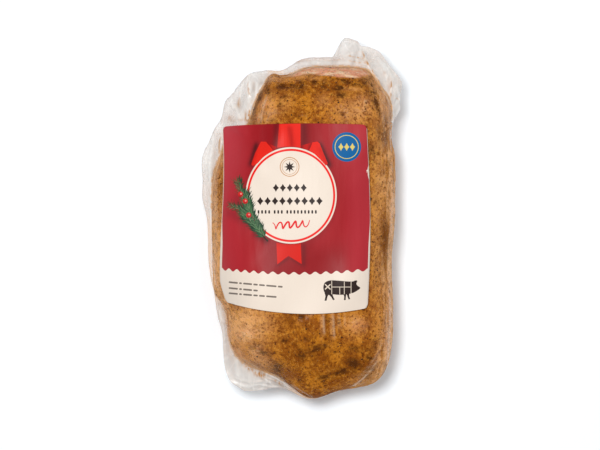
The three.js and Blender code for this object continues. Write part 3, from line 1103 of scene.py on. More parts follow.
@dataclass
class FilmBag:
    """The bag: clear film tight over the ham, and loose, creased flaps where it stands off it."""

    maker: Maker
    stations: int = 1040
    over_rings: int = 48
    flap_rings: int = 30
    flap_under_rings: int = 9
    base_rings: int = 8
    flap_root: float = 5.0
    over_gather: float = 0.6
    lift: float = 0.1
    edge_pitch: float = 9.0
    least_edge: float = 0.5
    base_middle: float = 0.1
    billow: float = 1.5
    billow_size: float = 10.0
    pleat: float = 0.55
    pleat_width: float = 8.0
    pleat_length: float = 26.0
    mean_reach: float = 90.0
    clear: float = 0.008
    cloudy: float = 0.24
    backed: float = 0.62
    crested: float = 0.14
    rimmed: float = 0.45
    whiter: float = 0.8
    tinted: float = 0.35
    tinted_gap: float = 2.2
    soaked: float = 1.5
    # The creases; the whiteness of the thin upright ones below the label and of the long ones down the right
    # side stands in for highlight lines, which is painted light.
    folds: tuple[Fold, ...] = several(
        Fold,
        (34.5, 98, 38.9, 87.3, 0.8, 1.3, -0.4, 0.3, 0.9),
        (38.9, 87.3, 45.2, 76.8, 0.8, 1.3, 0.3, 0.14, 0.9),
        (45.2, 76.8, 49.3, 68.7, 0.8, 1.1, 0.2, 0.14, 0.9),
        (25.8, 94.8, 33.6, 96.9, 0.6, 0.6, 0.4, 0.16, 0.45),
        (29, 93.1, 36.5, 90.8, 0.6, 0.6, -0.3, 0.18, 0.5), (19.1, 93.1, 20.3, 100, 0.8, 0.7, 0, 0.14, 0.1),
        (42.3, 94.2, 49.3, 80.9, 1, 0.9, 1.2, 0.22), (46.4, 90.8, 52.2, 80.3, 0.8, 0.8, 0.6, 0.18),
        (51, 80.9, 50.5, 71.6, 0.6, 0.6, 0.5, 0.22, 0.7),
        (50.5, 72.2, 52.2, 62.9, 0.6, 0.6, -0.4, 0.2, 0.5),
        (53.9, 78, 56.3, 67.6, 0.8, 0.8, 0.5, 0.18, 0.1), (57.4, 66.4, 52.8, 58.3, 0.8, 0.8, 0.4, 0.2),
        (52.2, 61.8, 51, 45.5, 0.8, 0.6, 0, 0.24), (-31.9, 79.8, -30.7, 69.9, 0.8, 1.1, -0.3, 0.26, 0.6),
        (-26.7, 79.2, -27.3, 70.5, 0.8, 1.1, 0.4, 0.22, 0.1),
        (-34.8, 82.1, -36.2, 73.4, 0.8, 0.9, 0.3, 0.2, 0.15),
        (-36.2, 74.5, -37.1, 65.2, 0.7, 0.8, 0, 0.2, 0.7),
        (-41.2, 73.4, -40, 62.9, 0.8, 0.8, -0.8, 0.16, 0.1),
        (-40, 66.4, -36.5, 56.5, 0.7, 0.7, 0.4, 0.2, 0.2),
        (-23.8, 77.4, -30.7, 64.7, 0.8, 0.7, 0.5, 0.24, 0.35),
        (-30.7, 64.7, -32.5, 56.5, 0.8, 0.7, 0.2, 0.22, 0.45),
        (-20.3, 82.6, -23.8, 75.7, 0.6, 0.5, 0, 0.2, 0.2),
        (-33.1, 83.2, -21.5, 84.4, 0.7, 0.7, 0.3, 0.2, 0.1),
        (-45.8, 61.8, -47, 53.6, 0.8, 0.6, 0, 0.16, 0.25),
        (-47, 52.5, -50.5, 27, 0.7, 0.8, 0.8, 0.24, 0.35), (-47.8, 50, -48.6, 36, 0.6, 0.6, -0.3, 0.2, 0.9),
        (-48.6, 36, -54.6, 12, 0.6, 0.6, 0.6, 0.24, 0.7), (-49.5, 30, -53.6, 8, 0.5, 0.4, -0.5, 0.2, 0.5),
        (-53.8, 12, -52.6, -14, 0.4, 0.3, 0, 0.24, 0.2), (-52.2, 49, -54.2, 33.9, 0.9, 0.9, 0.5, 0.2),
        (-54.2, 33.9, -53.4, 20, 0.8, 0.8, -0.3, 0.2), (-56.3, 39.7, -56.3, 22.3, 0.7, 0.7, 0.4, 0.16),
        (-53.4, 20, -52.8, -10.1, 0.5, 0.5, -0.4, 0.3), (-52.8, -10.1, -49.9, -41.5, 0.5, 0.5, -0.3, 0.4),
        (-49.9, -41.5, -46.7, -62.7, 0.6, 0.6, -0.4, 0.16, 0.4),
        (-46.8, -64.7, -45.7, -79.8, 0.8, 0.5, 0.3, 0.08), (-38.5, -80.5, -38, -92.5, 0.9, 0.6, -0.4, 0.12),
        (-43, -93.8, -30.5, -98, 0.7, 0.7, -0.6, 0.2),
        (-31.5, -97.6, -19.5, -97.6, 0.6, 0.7, 1.1, 0.24, 0.1),
        (-20, -97.4, -9.5, -100, 0.6, 0.6, 0.3, 0.2, 0.1),
        (-40, -92, -29, -95.6, 0.6, 0.5, -0.4, 0.14, 0.1),
        (-29.5, -95.4, -17.5, -95.2, 0.5, 0.5, 0.8, 0.2, 0.25),
        (-23.8, -88.4, -8.7, -97.1, 0.5, 0.6, 0.3, 0.24, 0.3),
        (-21.5, -91.9, -6.4, -99.2, 0.45, 0.5, 0.3, 0.24, 0.15),
        (-27.3, -90.2, -15.7, -98.3, 0.5, 0.6, 0.5, 0.2, 0.1),
        (-36.5, -80.9, -23.8, -89, 0.6, 0.6, 0.6, 0.2, 0.6), (50.3, 52, 51.6, 26, 0.6, 0.3, 0.4, 0.24, 0.1),
        (52.6, 38, 52.8, 6, 0.9, 0.3, 0.4, 0.26), (51.4, 11, 50.9, -42, 0.9, 0.3, 0.2, 0.3),
        (50.4, -38, 50, -72, 0.8, 0.35, 0, 0.42), (48.2, -52, 48, -77, 0.5, 0.15, -0.3, 0.04, 0.9),
        (48.8, -62, 48, -93, 0.6, 0.35, 0.8, 0.36), (26.5, -98.6, 43.5, -81.5, 0.55, 0.6, -1.6, 0.5),
        (31.5, -93, 46.5, -70, 0.5, 0.3, -1.6, 0.2), (48.7, -86.2, 41.4, -95.6, 0.5, 0.5, 1, 0.12, 0.4),
        (45.8, 72.5, 46.6, 54, 1.2, 1, 0.6, 0.07, 0.5), (23.8, 94.3, 37, 92.2, 0.4, 0.35, 0.4, 0.12, 0.9),
        (25.5, 91.8, 37.5, 89.9, 0.4, 0.35, -0.3, 0.12, 0.8),
        (51.3, 79.5, 51, 70, 0.45, 0.35, 0, 0.12, 0.9), (53, 70.2, 55.8, 69.3, 0.4, 0.3, 0, 0.12, 0.9),
        (44.5, 77, 50.2, 65.5, 0.5, 0.5, 0.4, 0.12, 0.9), (46.4, 75, 51.2, 63, 0.45, 0.4, 0.4, 0.3, 0.3),
        (49.8, 70, 51, 52, 0.5, 0.4, 0.4, 0.1, 0.9), (51.8, 66, 51.4, 50, 0.4, 0.4, 0, 0.3, 0.2),
        (-31.5, 85, -31.8, 67, 0.6, 0.6, 0, 0.16, 0.1), (-24.4, 54.5, -20.4, 71, 0.5, 0.4, 0.7, 0.3),
        (-21.6, 54.5, -18.8, 62, 0.4, 0.3, -0.3, 0.16, 0.2), (39.5, 85.5, 47.2, 71.5, 0.6, 0.4, 0.6, 0.2),
        (28.4, -97.7, 18, -100.6, 0.5, 0.3, 0, 0.16, 0.7),
        (6.4, -104.1, -1.7, -99.5, 0.5, 0.3, 0, 0.14, 0.6),
        (-1.7, -99.5, -7.5, -96, 0.5, 0.3, 0, 0.16, 0.5), (11.6, -54.4, 12.2, -67, 0.6, 0.25, 0, 0.34),
        (17.3, -54.4, 18, -69.3, 0.6, 0.25, 0, 0.36), (20.4, -54.4, 22.3, -64, 0.35, 0.15, 0, 0.14),
        (23.9, -54.4, 24.2, -62, 0.35, 0.15, 0, 0.12), (48.1, 76.8, 49.6, 54.2, 0.7, 0.4, 0.6, 0.14, 0.6),
        (44.1, 71.6, 47.6, 39.7, 0.6, 0.3, 0.5, 0.14),
    )
    # Milky patches of film, some of them painted highlights, such as the small oval at (-31, 76) and the
    # strip at (52, 52) down the right side.
    veils: tuple[Patch, ...] = several(
        Patch,
        (-54, 22, 1.6, 34, 0.3), (-54, 32, 2.6, 16, 0.15), (-30, 68, 2.2, 11, 0.3, -32),
        (-24, 81, 7, 2.6, 0.22), (-34.5, 60, 2.6, 5.5, 0.3, -15), (-31, 76, 1.8, 3.6, 0.35),
        (12, 90, 26, 1.6, 0.3), (14, 84, 18, 1.5, 0.06), (-33, -90, 15, 9, 0.3, -10), (24, 99, 5, 4, 0.2),
        (52, 84, 9, 9, 0.12), (56, 69, 3, 6, 0.2), (52, 52, 1.3, 8, 0.6), (31.5, 97, 6, 5, 0.25),
        (54, 67, 3.5, 8, 0.5), (51.5, 86, 3, 5, 0.3, 40), (-39, -78, 2, 8, 0.1, 40),
        (-46.5, -60, 1.4, 14, 0.2, 10), (-38, -64, 12, 9, 0.05), (32, -97, 7, 1.6, 0.12, 20),
    )
    stains: tuple[Patch, ...] = several(
        Patch,
        (-37.3, 66.5, 1, 3.2, 0.8), (-34.5, 57, 3.4, 1.5, 0.6), (-31, 60.5, 2.2, 5, 0.8, -20),
        (-43.5, 57.8, 2.5, 2, 0.4), (-29, 76, 1, 3, 0.4), (-1, 91.3, 9, 1.2, 0.45, 8), (18, 92, 8, 1, 0.5),
        (34, 91.5, 5, 1.2, 0.4), (50.5, 75, 1.4, 6, 0.5, 5), (50.2, 60, 1.2, 10, 0.5, 5),
        (-29.5, -87.5, 9, 2.4, 0.6, -30), (-17, -94, 6, 1.4, 0.3, -28), (-51, -5, 1.6, 40, 0.5),
        (-45.5, -60, 1.8, 16, 0.45, 10), (47.6, 85, 1.1, 1, 0.5), (-24.5, -90.5, 5, 2.2, 1, -25),
        (-32, -86, 5, 1.3, 1.1, -42), (-38.5, -79, 3, 1.1, 0.9, -55), (-14, -95.5, 5, 1.4, 0.8, -28),
        (-35, -83.5, 2.5, 1.4, 0.8, -40), (-31.5, 58.5, 2.4, 3.4, 1.3), (-41.5, 57.5, 2.4, 1.8, 0.9),
        (-31.5, 64, 1, 5, 0.7, -25),
    )

    def _distances(self, angles: Array) -> tuple[Array, Array]:
        """Distances of the film's rings from the middle, on top and underneath.

        Args:
            angles: The stations' angles in degrees.

        Returns:
            Two arrays of rings and stations, the first out to the edge and the second back from it.
        """
        circle = np.stack([*placed(1.0, angles), 0 * angles], -1)
        wander = Noise(21).layered(circle * self.edge_pitch, 3)
        wide = np.minimum(1, FORM.flap_reach(angles) / FORM.wide_reach)
        edge = FORM.edge_reach(angles) + wide * wander
        root = FORM.ham_reach(angles) - self.flap_root
        over = np.linspace(1 / self.over_rings, 1, self.over_rings)[:, None] ** self.over_gather * root
        flap = root + np.linspace(0, 1, self.flap_rings + 1)[1:, None] * (edge - root)
        flap_under = root + np.linspace(1, 0, self.flap_under_rings + 1)[:, None] * (edge - root)
        base = np.linspace(1, self.base_middle, self.base_rings)[1:, None] * root
        return np.concatenate([over, flap]), np.concatenate([flap_under, base])

    def _looseness(self, distance: Array, angles: Array) -> Array:
        """How loose the film is, from 0 tight over the ham to 1 in a wide flap."""
        wide = smoothstep(0.8, 3.5, FORM.flap_reach(angles) - FORM.tight_reach)
        return wide * smoothstep(-0.1, 1.5, distance - FORM.ham_reach(angles))

    def _creases(self, x: Array, y: Array, distance: Array, angles: Array) -> tuple[Array, Array]:
        """The film's loose creases.

        Args:
            x: The places' X.
            y: The places' Y.
            distance: Distances from the middle.
            angles: The stations' angles.

        Returns:
            Heights in millimetres, and crests from 0 to 1.
        """
        around = np.radians(angles) * self.mean_reach / self.pleat_width
        pleats = Noise(31).creased(np.stack([around + 0 * x, distance / self.pleat_length, 0 * x], -1), 2)
        billows = Noise(33).layered(np.stack([x, y, 0 * x + 3], -1) / self.billow_size, 2)
        loose = self._looseness(distance, angles)
        height = loose * (self.pleat * (1.6 * pleats - 1.3) + self.billow * (billows - 0.3))
        return height, loose * smoothstep(0.9, 1.0, pleats)

    def _sheet(self, distance: Array, angles: Array, top: bool) -> tuple[Array, dict[str, Array]]:
        """One side of the bag.

        Args:
            distance: Distances from the middle, as rings and stations.
            angles: The stations' angles in degrees.
            top: Whether it's the top rather than the underside.

        Returns:
            Its points, and its marks at each.
        """
        x, y = placed(distance, angles)
        reach = FORM.ham_reach(angles)
        clamped = np.minimum(distance, FORM.edge_reach(angles))
        clamped = clamped - FORM.filled(distance / reach, angles)
        creases, crest = self._creases(x, y, distance, angles)
        loose = self._looseness(distance, angles)
        gap = np.maximum(0, distance - reach)
        rim = (1 - loose) * smoothstep(0.5, 1.3, gap)
        haze = self.clear + (self.cloudy if top else self.backed) * loose + self.rimmed * rim
        near = np.exp(-((gap / self.tinted_gap) ** 2))
        stain = np.maximum(strongest(self.stains, x, y), self.tinted * near * loose)
        soaking = smoothstep(1.0, 4.0, FORM.flap_reach(angles) - FORM.tight_reach)
        soaking = soaking * smoothstep(-1.2, -0.2, distance - reach)
        juice = soaking * np.exp(-((gap / self.soaked) ** 2))
        if top:
            height = FORM.bag(clamped, angles, top=True) + self.lift + creases
            # Veils and folds whiten the film, partly as painted highlights.
            haze = haze + self.crested * crest + strongest(self.veils, x, y)
            for fold in self.folds:
                rise = fold.over(x, y)
                share = rise / fold.strength
                height = height + rise
                haze = haze + fold.haze * share * (1 + self.whiter * loose)
                stain = np.maximum(stain, fold.stain * share)
        else:
            height = FORM.bag(clamped, angles, top=False)
            height = np.maximum(0.0, height + creases * smoothstep(1, 6, height))
        marks = {"haze": haze, "stain": stain, "juice": juice, "tight": 1 - loose}
        return np.stack([x, y, height], -1), marks

    def build(self) -> None:
        """Builds and dresses the film, which stands for the sealed bag's solid together with the ham."""
        angles = FORM.outline_angles(self.stations)
        out, back = self._distances(angles)
        top, above = self._sheet(out, angles, top=True)
        under, below = self._sheet(back, angles, top=False)
        under[0, :, 2] = np.minimum(under[0, :, 2], top[-1, :, 2] - self.least_edge)
        first = np.array([0, 0, top[0, :, 2].mean()])
        last = np.array([0, 0, under[-1, :, 2].mean()])
        piece = self.maker.rings("film_bag", first, np.concatenate([top, under]), last)
        ends = {"haze": self.clear, "stain": 0, "juice": 0, "tight": 1}
        self.maker.mark(piece, **{
            name: np.concatenate([[end], above[name].ravel(), below[name].ravel(), [end]])
            for name, end in ends.items()
        })
        self.maker.finish(piece, ClearFilm().material(), "film", "sealed_bag")


# ---- The label ----


@dataclass(frozen=True)
class Side:
    """A long side of the label: its place across, and its sway's rise, rate and phase."""

    at: float
    rise: float
    rate: float
    phase: float

    def across(self, up: Array) -> Array:
        """Where the side is, from -1 to 1 up the label."""
        return self.at + self.rise * np.sin(self.rate * up + self.phase)


@dataclass(frozen=True)
class LabelForm:
    """The label's edges in plan, and how high it lies on the bag."""

    left: Side = Side(-47.0, 1.1, 2.6, 0.2)
    right: Side = Side(37.4, 1.4, 1.9, 1.76)
    top: float = 53.7
    bottom: float = -50.5
    top_bow: float = 0.9
    top_turn: float = 0.35
    bottom_bow: float = 4.3
    bottom_turn: float = -1.5
    tuck: float = 3.5
    corner_radius: float = 2.5
    gap: float = 0.4
    thickness: float = 0.35
    wrinkle: float = 0.14
    wrinkle_width: float = 7.0
    wrinkle_length: float = 40.0

    @property
    def half(self) -> float:
        """Half of the label's height."""
        return (self.top - self.bottom) / 2

    def plan(self, across: Array, up: Array) -> tuple[Array, Array]:
        """Places in plan.

        Args:
            across: From -1 to 1 across the label.
            up: From -1 to 1 up the label.

        Returns:
            Their X and Y.
        """
        low = np.maximum(0, -up) ** 2
        high = np.maximum(0, up) ** 2
        middle = 1 - across**2
        left = self.left.across(up) + self.tuck * smoothstep(0.7, 1.05, -up)
        right = self.right.across(up)
        from_end = (1 - np.abs(up)) * self.half
        inset = np.maximum(0, self.corner_radius - from_end)
        rounding = self.corner_radius - np.sqrt(self.corner_radius**2 - inset**2)
        x = left + rounding + (right - left - 2 * rounding) * (across + 1) / 2
        y = self.bottom + (self.top - self.bottom) * (up + 1) / 2
        y = y + high * (self.top_bow * middle + self.top_turn * across)
        y = y - low * (self.bottom_bow * middle - self.bottom_turn * across)
        return x, y

    def face(self, x: Array, y: Array) -> Array:
        """The height of the label's printed face.

        Args:
            x: The places' X.
            y: The places' Y.

        Returns:
            The heights.
        """
        step = 0.5
        height = FORM.sheet_height(x, y)
        slope_x = (FORM.sheet_height(x + step, y) - FORM.sheet_height(x - step, y)) / (2 * step)
        slope_y = (FORM.sheet_height(x, y + step) - FORM.sheet_height(x, y - step)) / (2 * step)
        steep = np.sqrt(1 + np.minimum(slope_x**2 + slope_y**2, 4.0))
        spot = np.stack([x / self.wrinkle_width, y / self.wrinkle_length, 0 * x], -1)
        return height + (self.gap + self.thickness) * steep + self.wrinkle * Noise(41).layered(spot, 2)


LABEL = LabelForm()


@dataclass(frozen=True)
class LabelPaper:
    """The label's cream paper, with its red field, scalloped edge and medallion printed on it."""

    cream: Colour = (0.84, 0.72, 0.61)
    field: Colour = (0.39, 0.011, 0.017)
    deep: Colour = (0.27, 0.003, 0.006)
    # Painted light: the lighter red that the field takes towards its left and its right.
    painted_light_red: Colour = (0.49, 0.036, 0.05)
    shadow: Colour = (0.06, 0.004, 0.006)
    ring: Colour = (0.82, 0.01, 0.006)
    scallop_pitch: float = 6.1
    scallop_rise: float = 0.78
    scallop_start: float = 0.9
    stretched_from: float = -14.0
    stretched: float = 0.00635
    band_y: float = -31.6
    band_bow: float = 2.1
    band_middle: float = -3.5
    band_half: float = 40.0
    medallion: Plan = (-6.85, 13.2)
    medallion_size: Plan = (26.2, 27.7)
    rim_from: float = 0.967
    ring_from: float = 0.922
    margin: float = 0.25
    lower_margin: float = 0.95
    chip_y: float = 26.5
    chip_reach: float = 4.0
    chip_depth: float = 6.0
    soft: float = 0.12
    fuzz: float = 0.004

    def material(self, place: Frame) -> Material:
        """Builds the material.

        Args:
            place: The frame that the plan is placed by.

        Returns:
            A material drawn on the model's own coordinates, which reads the mark shade.
        """
        tree = Tree("label_paper")
        x, y = tree.plan(place)
        soft, fuzz = self.soft, self.fuzz
        past = (x - self.stretched_from).least(0.0)
        run = x - past * past * self.stretched
        wave = ((run - self.scallop_start) * (TAU / self.scallop_pitch)).cosine()
        away = (x - self.band_middle) / self.band_half
        edge = self.band_y + away * away * self.band_bow + wave * self.scallop_rise
        red = (y - edge).step(-soft, soft)
        margin = self.margin + self.lower_margin * (1 - (y + 2.0).step(-16.0, 4.0))
        left, right = self._side(y, LABEL.left), self._side(y, LABEL.right)
        near = 1 - ((y - self.chip_y).size() / self.chip_reach).least(1.0)
        chipped = near * (tree.noise(2.2, 2.0) - 0.3) * self.chip_depth
        red = red * (x - left - margin).step(-soft, soft)
        red = red * (right - x - margin * 0.8 - chipped.most(0.0)).step(-soft, soft)
        dx = (x - self.medallion[0]) / self.medallion_size[0]
        dy = (y - self.medallion[1]) / self.medallion_size[1]
        reach = (dx * dx + dy * dy).root()
        disc = 1 - reach.step(1 - fuzz, 1 + fuzz)
        circle = (1 - reach.step(self.rim_from - fuzz, self.rim_from + fuzz)) * reach.step(
            self.ring_from - fuzz, self.ring_from + fuzz
        )
        field = self._field(tree, x, y, reach)
        grain = tree.noise(0.6, 2.0)
        paper = tree.mix(grain * 0.35, self.cream, tuple(0.92 * part for part in self.cream))
        base = tree.mix(red * (1 - disc), paper, field)
        base = tree.mix(circle, base, self.ring)
        relief = tree.noise(4, 2.0, stretch=(1.0, 5.0)) * 0.9 + grain * 0.1
        return tree.surface({
            "Base Color": base,
            "Roughness": 0.4 + 0.1 * grain,
            "Specular IOR Level": 0.2,
            "Normal": tree.bump(relief, 0.18),
        })

    @staticmethod
    def _side(y: Signal, side: Side) -> Signal:
        """Where a side of the label is, for each place up it.

        Args:
            y: The place.
            side: The side.

        Returns:
            The side's X in millimetres.
        """
        middle = (LABEL.top + LABEL.bottom) / 2
        angle = (y - middle) * (side.rate / LABEL.half) + (side.phase - math.pi / 2)
        return angle.cosine() * side.rise + side.at

    def _field(self, tree: Tree, x: Signal, y: Signal, reach: Signal) -> Signal:
        """The red field's colour: deeper beside the ribbon, and lighter towards the left and at the right
        with painted light.

        Args:
            tree: The material's tree.
            x: The places' X.
            y: The places' Y.
            reach: How far out in the medallion, 1 on its edge.

        Returns:
            The colour.
        """
        beside = (x + 7.5).size()
        deep = (1 - beside.step(7.0, 24.0)) * 0.9
        under = reach.step(1.0, 1.12)
        lower = 1 - (y + 14.0).step(-10.0, 6.0)
        right_low = (x + 2.0).step(-4.0, 8.0) * (1 - (x + 2.0).step(18.0, 38.0)) * lower * 0.8
        cloud = tree.noise(16, 2.0, stretch=(0.6, 2.4))
        colour = tree.mix(cloud.step(0.3, 0.7) * 0.35, self.field, self.deep)
        colour = tree.mix((deep * (0.6 + cloud * 0.6)).most(right_low), colour, self.deep)
        colour = tree.mix((1 - under) * 0.35, colour, self.deep)
        colour = tree.mix(tree.marked("shade").least(1.0), colour, self.shadow)
        # Painted light: the red is lightened towards the left, more so at the top, and at the right, standing
        # in for the light and gloss on the label.
        light = (1 - x.step(-46.0, -26.0)) * (0.5 + 0.5 * y.step(0.0, 50.0))
        light = light.most(x.step(20.0, 32.0) * 0.6)
        return tree.mix(light, colour, self.painted_light_red)


class Layer(Enum):
    """How high a printed shape lies over the label's face, in millimetres."""

    FIRST = 0.035
    SECOND = 0.07
    THIRD = 0.105
    FOURTH = 0.14
    FIFTH = 0.175


def smooth_loop(points: Sequence[Plan], steps: int = 5) -> list[Plan]:
    """A closed smooth curve through points.

    Args:
        points: The points it passes, in order.
        steps: How many pieces each span is cut into.

    Returns:
        Points along the curve.
    """
    loop = []
    count = len(points)
    for i in range(count):
        p0, p1, p2, p3 = (np.array(points[(i + k) % count]) for k in (-1, 0, 1, 2))
        for j in range(steps):
            t = j / steps
            spot = 2 * p1 + (p2 - p0) * t + (2 * p0 - 5 * p1 + 4 * p2 - p3) * t**2
            loop.append(tuple((spot + (3 * p1 - p0 - 3 * p2 + p3) * t**3) / 2))
    return loop


def arc(centre: Plan, radius: float, start: float, steps: int) -> list[Plan]:
    """Points round half a circle, counterclockwise from an angle in radians."""
    turns = [start + math.pi * i / steps for i in range(steps + 1)]
    return [(centre[0] + radius * math.cos(t), centre[1] + radius * math.sin(t)) for t in turns]


def bar(start: Plan, end: Plan, width: float) -> list[Plan]:
    """The outline of a straight bar with rounded ends."""
    angle = math.atan2(end[1] - start[1], end[0] - start[0])
    return arc(end, width / 2, angle - math.pi / 2, 6) + arc(start, width / 2, angle + math.pi / 2, 6)


def ring(centre: Plan, radius: float, width: float) -> list[list[Plan]]:
    """The outlines of a thin ring, as two half rings that meet.

    Args:
        centre: Its middle.
        radius: The line's radius.
        width: Its width.

    Returns:
        Two outlines.
    """
    halves = []
    for start in (0.0, math.pi):
        outer = arc(centre, radius + width / 2, start, 24)
        halves.append(outer + arc(centre, radius - width / 2, start, 24)[::-1])
    return halves


def oval(centre: Plan, across: float, along: float, count: int, inner: float = 1.0) -> list[Plan]:
    """The outline of an oval, or of a lozenge or a star.

    Args:
        centre: Its middle.
        across: Half its width.
        along: Half its length.
        count: How many points it has.
        inner: How far out every second point is, as a share.

    Returns:
        The points.
    """
    outline = []
    for i in range(count):
        reach = inner if i % 2 else 1.0
        x = centre[0] + across * reach * math.cos(TAU * i / count)
        outline.append((x, centre[1] + along * reach * math.sin(TAU * i / count)))
    return outline


@dataclass
class Label:
    """The printed label: its paper sheet, and the shapes printed on it as thin films of ink."""

    maker: Maker
    columns: int = 90
    rows: int = 110
    ink_cell: float = 1.5
    ink_depth: float = 0.03
    under_face: float = 0.3
    lozenge_hollow: float = 0.43 * math.sqrt(2)
    shadows: tuple[Streak, ...] = several(
        Streak,
        (-26.4, 44.2, -30.9, 29.4, 1.5, 0.95), (8.9, 44.2, 16, 28.8, 1.7, 0.95),
        (-15.3, 56, -15.9, 39.5, 1.8, 0.5), (0.3, 56, 1, 39.5, 2.6, 0.55), (-39.6, 14.5, -29.6, -6, 3, 0.5),
        (-45, 4.4, -32, -2.5, 2.6, 0.5), (-29, -8, -19.5, -14, 2, 0.6), (0.4, -14, 0.4, -28.5, 1.5, 0.45),
        (-15.6, -27.4, -7.6, -22.4, 1, 0.4), (-7.6, -22.4, 0.4, -27.4, 1, 0.4),
    )

    def build(self) -> None:
        """Builds and dresses the paper and every printed shape."""
        paper = self._paper()
        self._ribbon()
        self._words()
        self._badge()
        self._pig()
        Sprig(self, paper).build()

    def _paper(self) -> Piece:
        """The paper: a thin closed sheet that lies on the bag.

        Returns:
            The paper, which stands for the label's solid.
        """
        edge_rows = 1 - np.array([0, 0.08, 0.3, 1]) * LABEL.corner_radius / LABEL.half
        inner = np.linspace(-edge_rows[-1], edge_rows[-1], self.rows)[1:-1]
        up = np.concatenate([-edge_rows, inner, edge_rows[::-1]])[:, None]
        across = np.linspace(-1, 1, self.columns + 1)[None, :]
        x, y = LABEL.plan(across + 0 * up, up + 0 * across)
        face = LABEL.face(x, y)
        lower = np.stack([x, y, face - self.under_face], -1)
        points = np.concatenate([lower, np.stack([x, y, face], -1)]).reshape(-1, 3)
        grid = np.arange(x.size).reshape(x.shape)
        cells = np.stack([grid[:-1, :-1], grid[:-1, 1:], grid[1:, 1:], grid[1:, :-1]], -1).reshape(-1, 4)
        border = np.concatenate([grid[0, :-1], grid[:-1, -1], grid[-1, :0:-1], grid[:0:-1, 0]])
        after = np.roll(border, -1)
        sides = np.stack([border, after, x.size + after, x.size + border], -1)
        faces = np.concatenate([x.size + cells, cells[:, [0, 3, 2, 1]], sides])
        piece = self.maker.mesh("label_sheet", points, faces.tolist())
        self.maker.mark(piece, shade=strongest(self.shadows, points[:, 0], points[:, 1]))
        return self.maker.finish(piece, LabelPaper().material(self.maker.frame), "label_paper", "label")

    def _cut(self, outline: Outline) -> tuple[list[Plan], list[Sequence[int]]]:
        """Cuts a flat shape into small triangles.

        Args:
            outline: Its closed outline.

        Returns:
            Its points and triangles.
        """
        edge = []
        for (ax, ay), (bx, by) in zip(outline, [*outline[1:], outline[0]]):
            pieces = max(1, math.ceil(math.hypot(bx - ax, by - ay) / self.ink_cell))
            edge += [(ax + (bx - ax) * i / pieces, ay + (by - ay) * i / pieces) for i in range(pieces)]
        xs, ys = zip(*edge)
        spots = [Vector(spot) for spot in edge]
        for x in np.arange(min(xs), max(xs), self.ink_cell) + self.ink_cell / 2:
            for y in np.arange(min(ys), max(ys), self.ink_cell) + self.ink_cell / 2:
                if self._inside((x, y), edge):
                    spots.append(Vector((x, y)))
        made = delaunay_2d_cdt(spots, [], [list(range(len(edge)))], 1, 1e-5)
        return [(v.x, v.y) for v in made[0]], [tuple(face) for face in made[2]]

    @staticmethod
    def _inside(spot: Plan, loop: Outline) -> bool:
        """Whether a place is inside a closed outline.

        Args:
            spot: The place.
            loop: The outline.

        Returns:
            True if it is.
        """
        x, y = spot
        crossings = 0
        for (ax, ay), (bx, by) in zip(loop, [*loop[1:], loop[0]]):
            if (ay > y) != (by > y) and x < ax + (y - ay) / (by - ay) * (bx - ax):
                crossings += 1
        return crossings % 2 == 1

    def _thicken(self, piece: Piece) -> None:
        """Gives a film of ink a thin closed body below its face.

        Args:
            piece: The film of ink.
        """
        mesh = bmesh.new()
        mesh.from_mesh(piece.data)
        bmesh.ops.remove_doubles(mesh, verts=mesh.verts, dist=1e-7)
        bmesh.ops.recalc_face_normals(mesh, faces=mesh.faces)
        if sum(face.normal.z * face.calc_area() for face in mesh.faces) < 0:
            bmesh.ops.reverse_faces(mesh, faces=mesh.faces)
        top = list(mesh.faces)
        rim = [edge for edge in mesh.edges if edge.is_boundary]
        down = Vector((0, 0, self.ink_depth * MM))
        low = {v: mesh.verts.new(v.co - down) for v in mesh.verts[:]}
        for face in top:
            mesh.faces.new([low[v] for v in reversed(face.verts)])
        for edge in rim:
            loop = edge.link_loops[0]
            a, b = loop.vert, loop.link_loop_next.vert
            mesh.faces.new((b, a, low[a], low[b]))
        mesh.to_mesh(piece.data)
        mesh.free()
        piece.data.polygons.foreach_set("use_smooth", [False] * len(piece.data.polygons))

    def ink(
        self,
        name: str,
        outlines: Sequence[Outline],
        ink: Ink,
        slot: str,
        layer: Layer = Layer.FIRST,
        shades: Sequence[Streak] = (),
    ) -> None:
        """Lays shapes of one ink on the label's face, as one mesh, and dresses them.

        Args:
            name: The piece's name.
            outlines: The shapes' closed outlines in plan.
            ink: Their colours.
            slot: The record's slot for it.
            layer: How high they lie.
            shades: Where the ink turns to its second colour.
        """
        points, faces = [], []
        for outline in outlines:
            flat, cut = self._cut(outline)
            faces += [[len(points) + i for i in face] for face in cut]
            points += flat
        plan = np.array(points)
        height = LABEL.face(plan[:, 0], plan[:, 1]) + layer.value
        piece = self.maker.mesh(name, np.column_stack([plan, height]), faces)
        self._thicken(piece)
        if shades:
            spots = np.array([vertex.co for vertex in piece.data.vertices])
            x, y, _ = ((spots - self.maker.frame.shift) / MM).T
            self.maker.mark(piece, shade=strongest(shades, x, y))
        self.maker.finish(piece, ink.material(), slot)

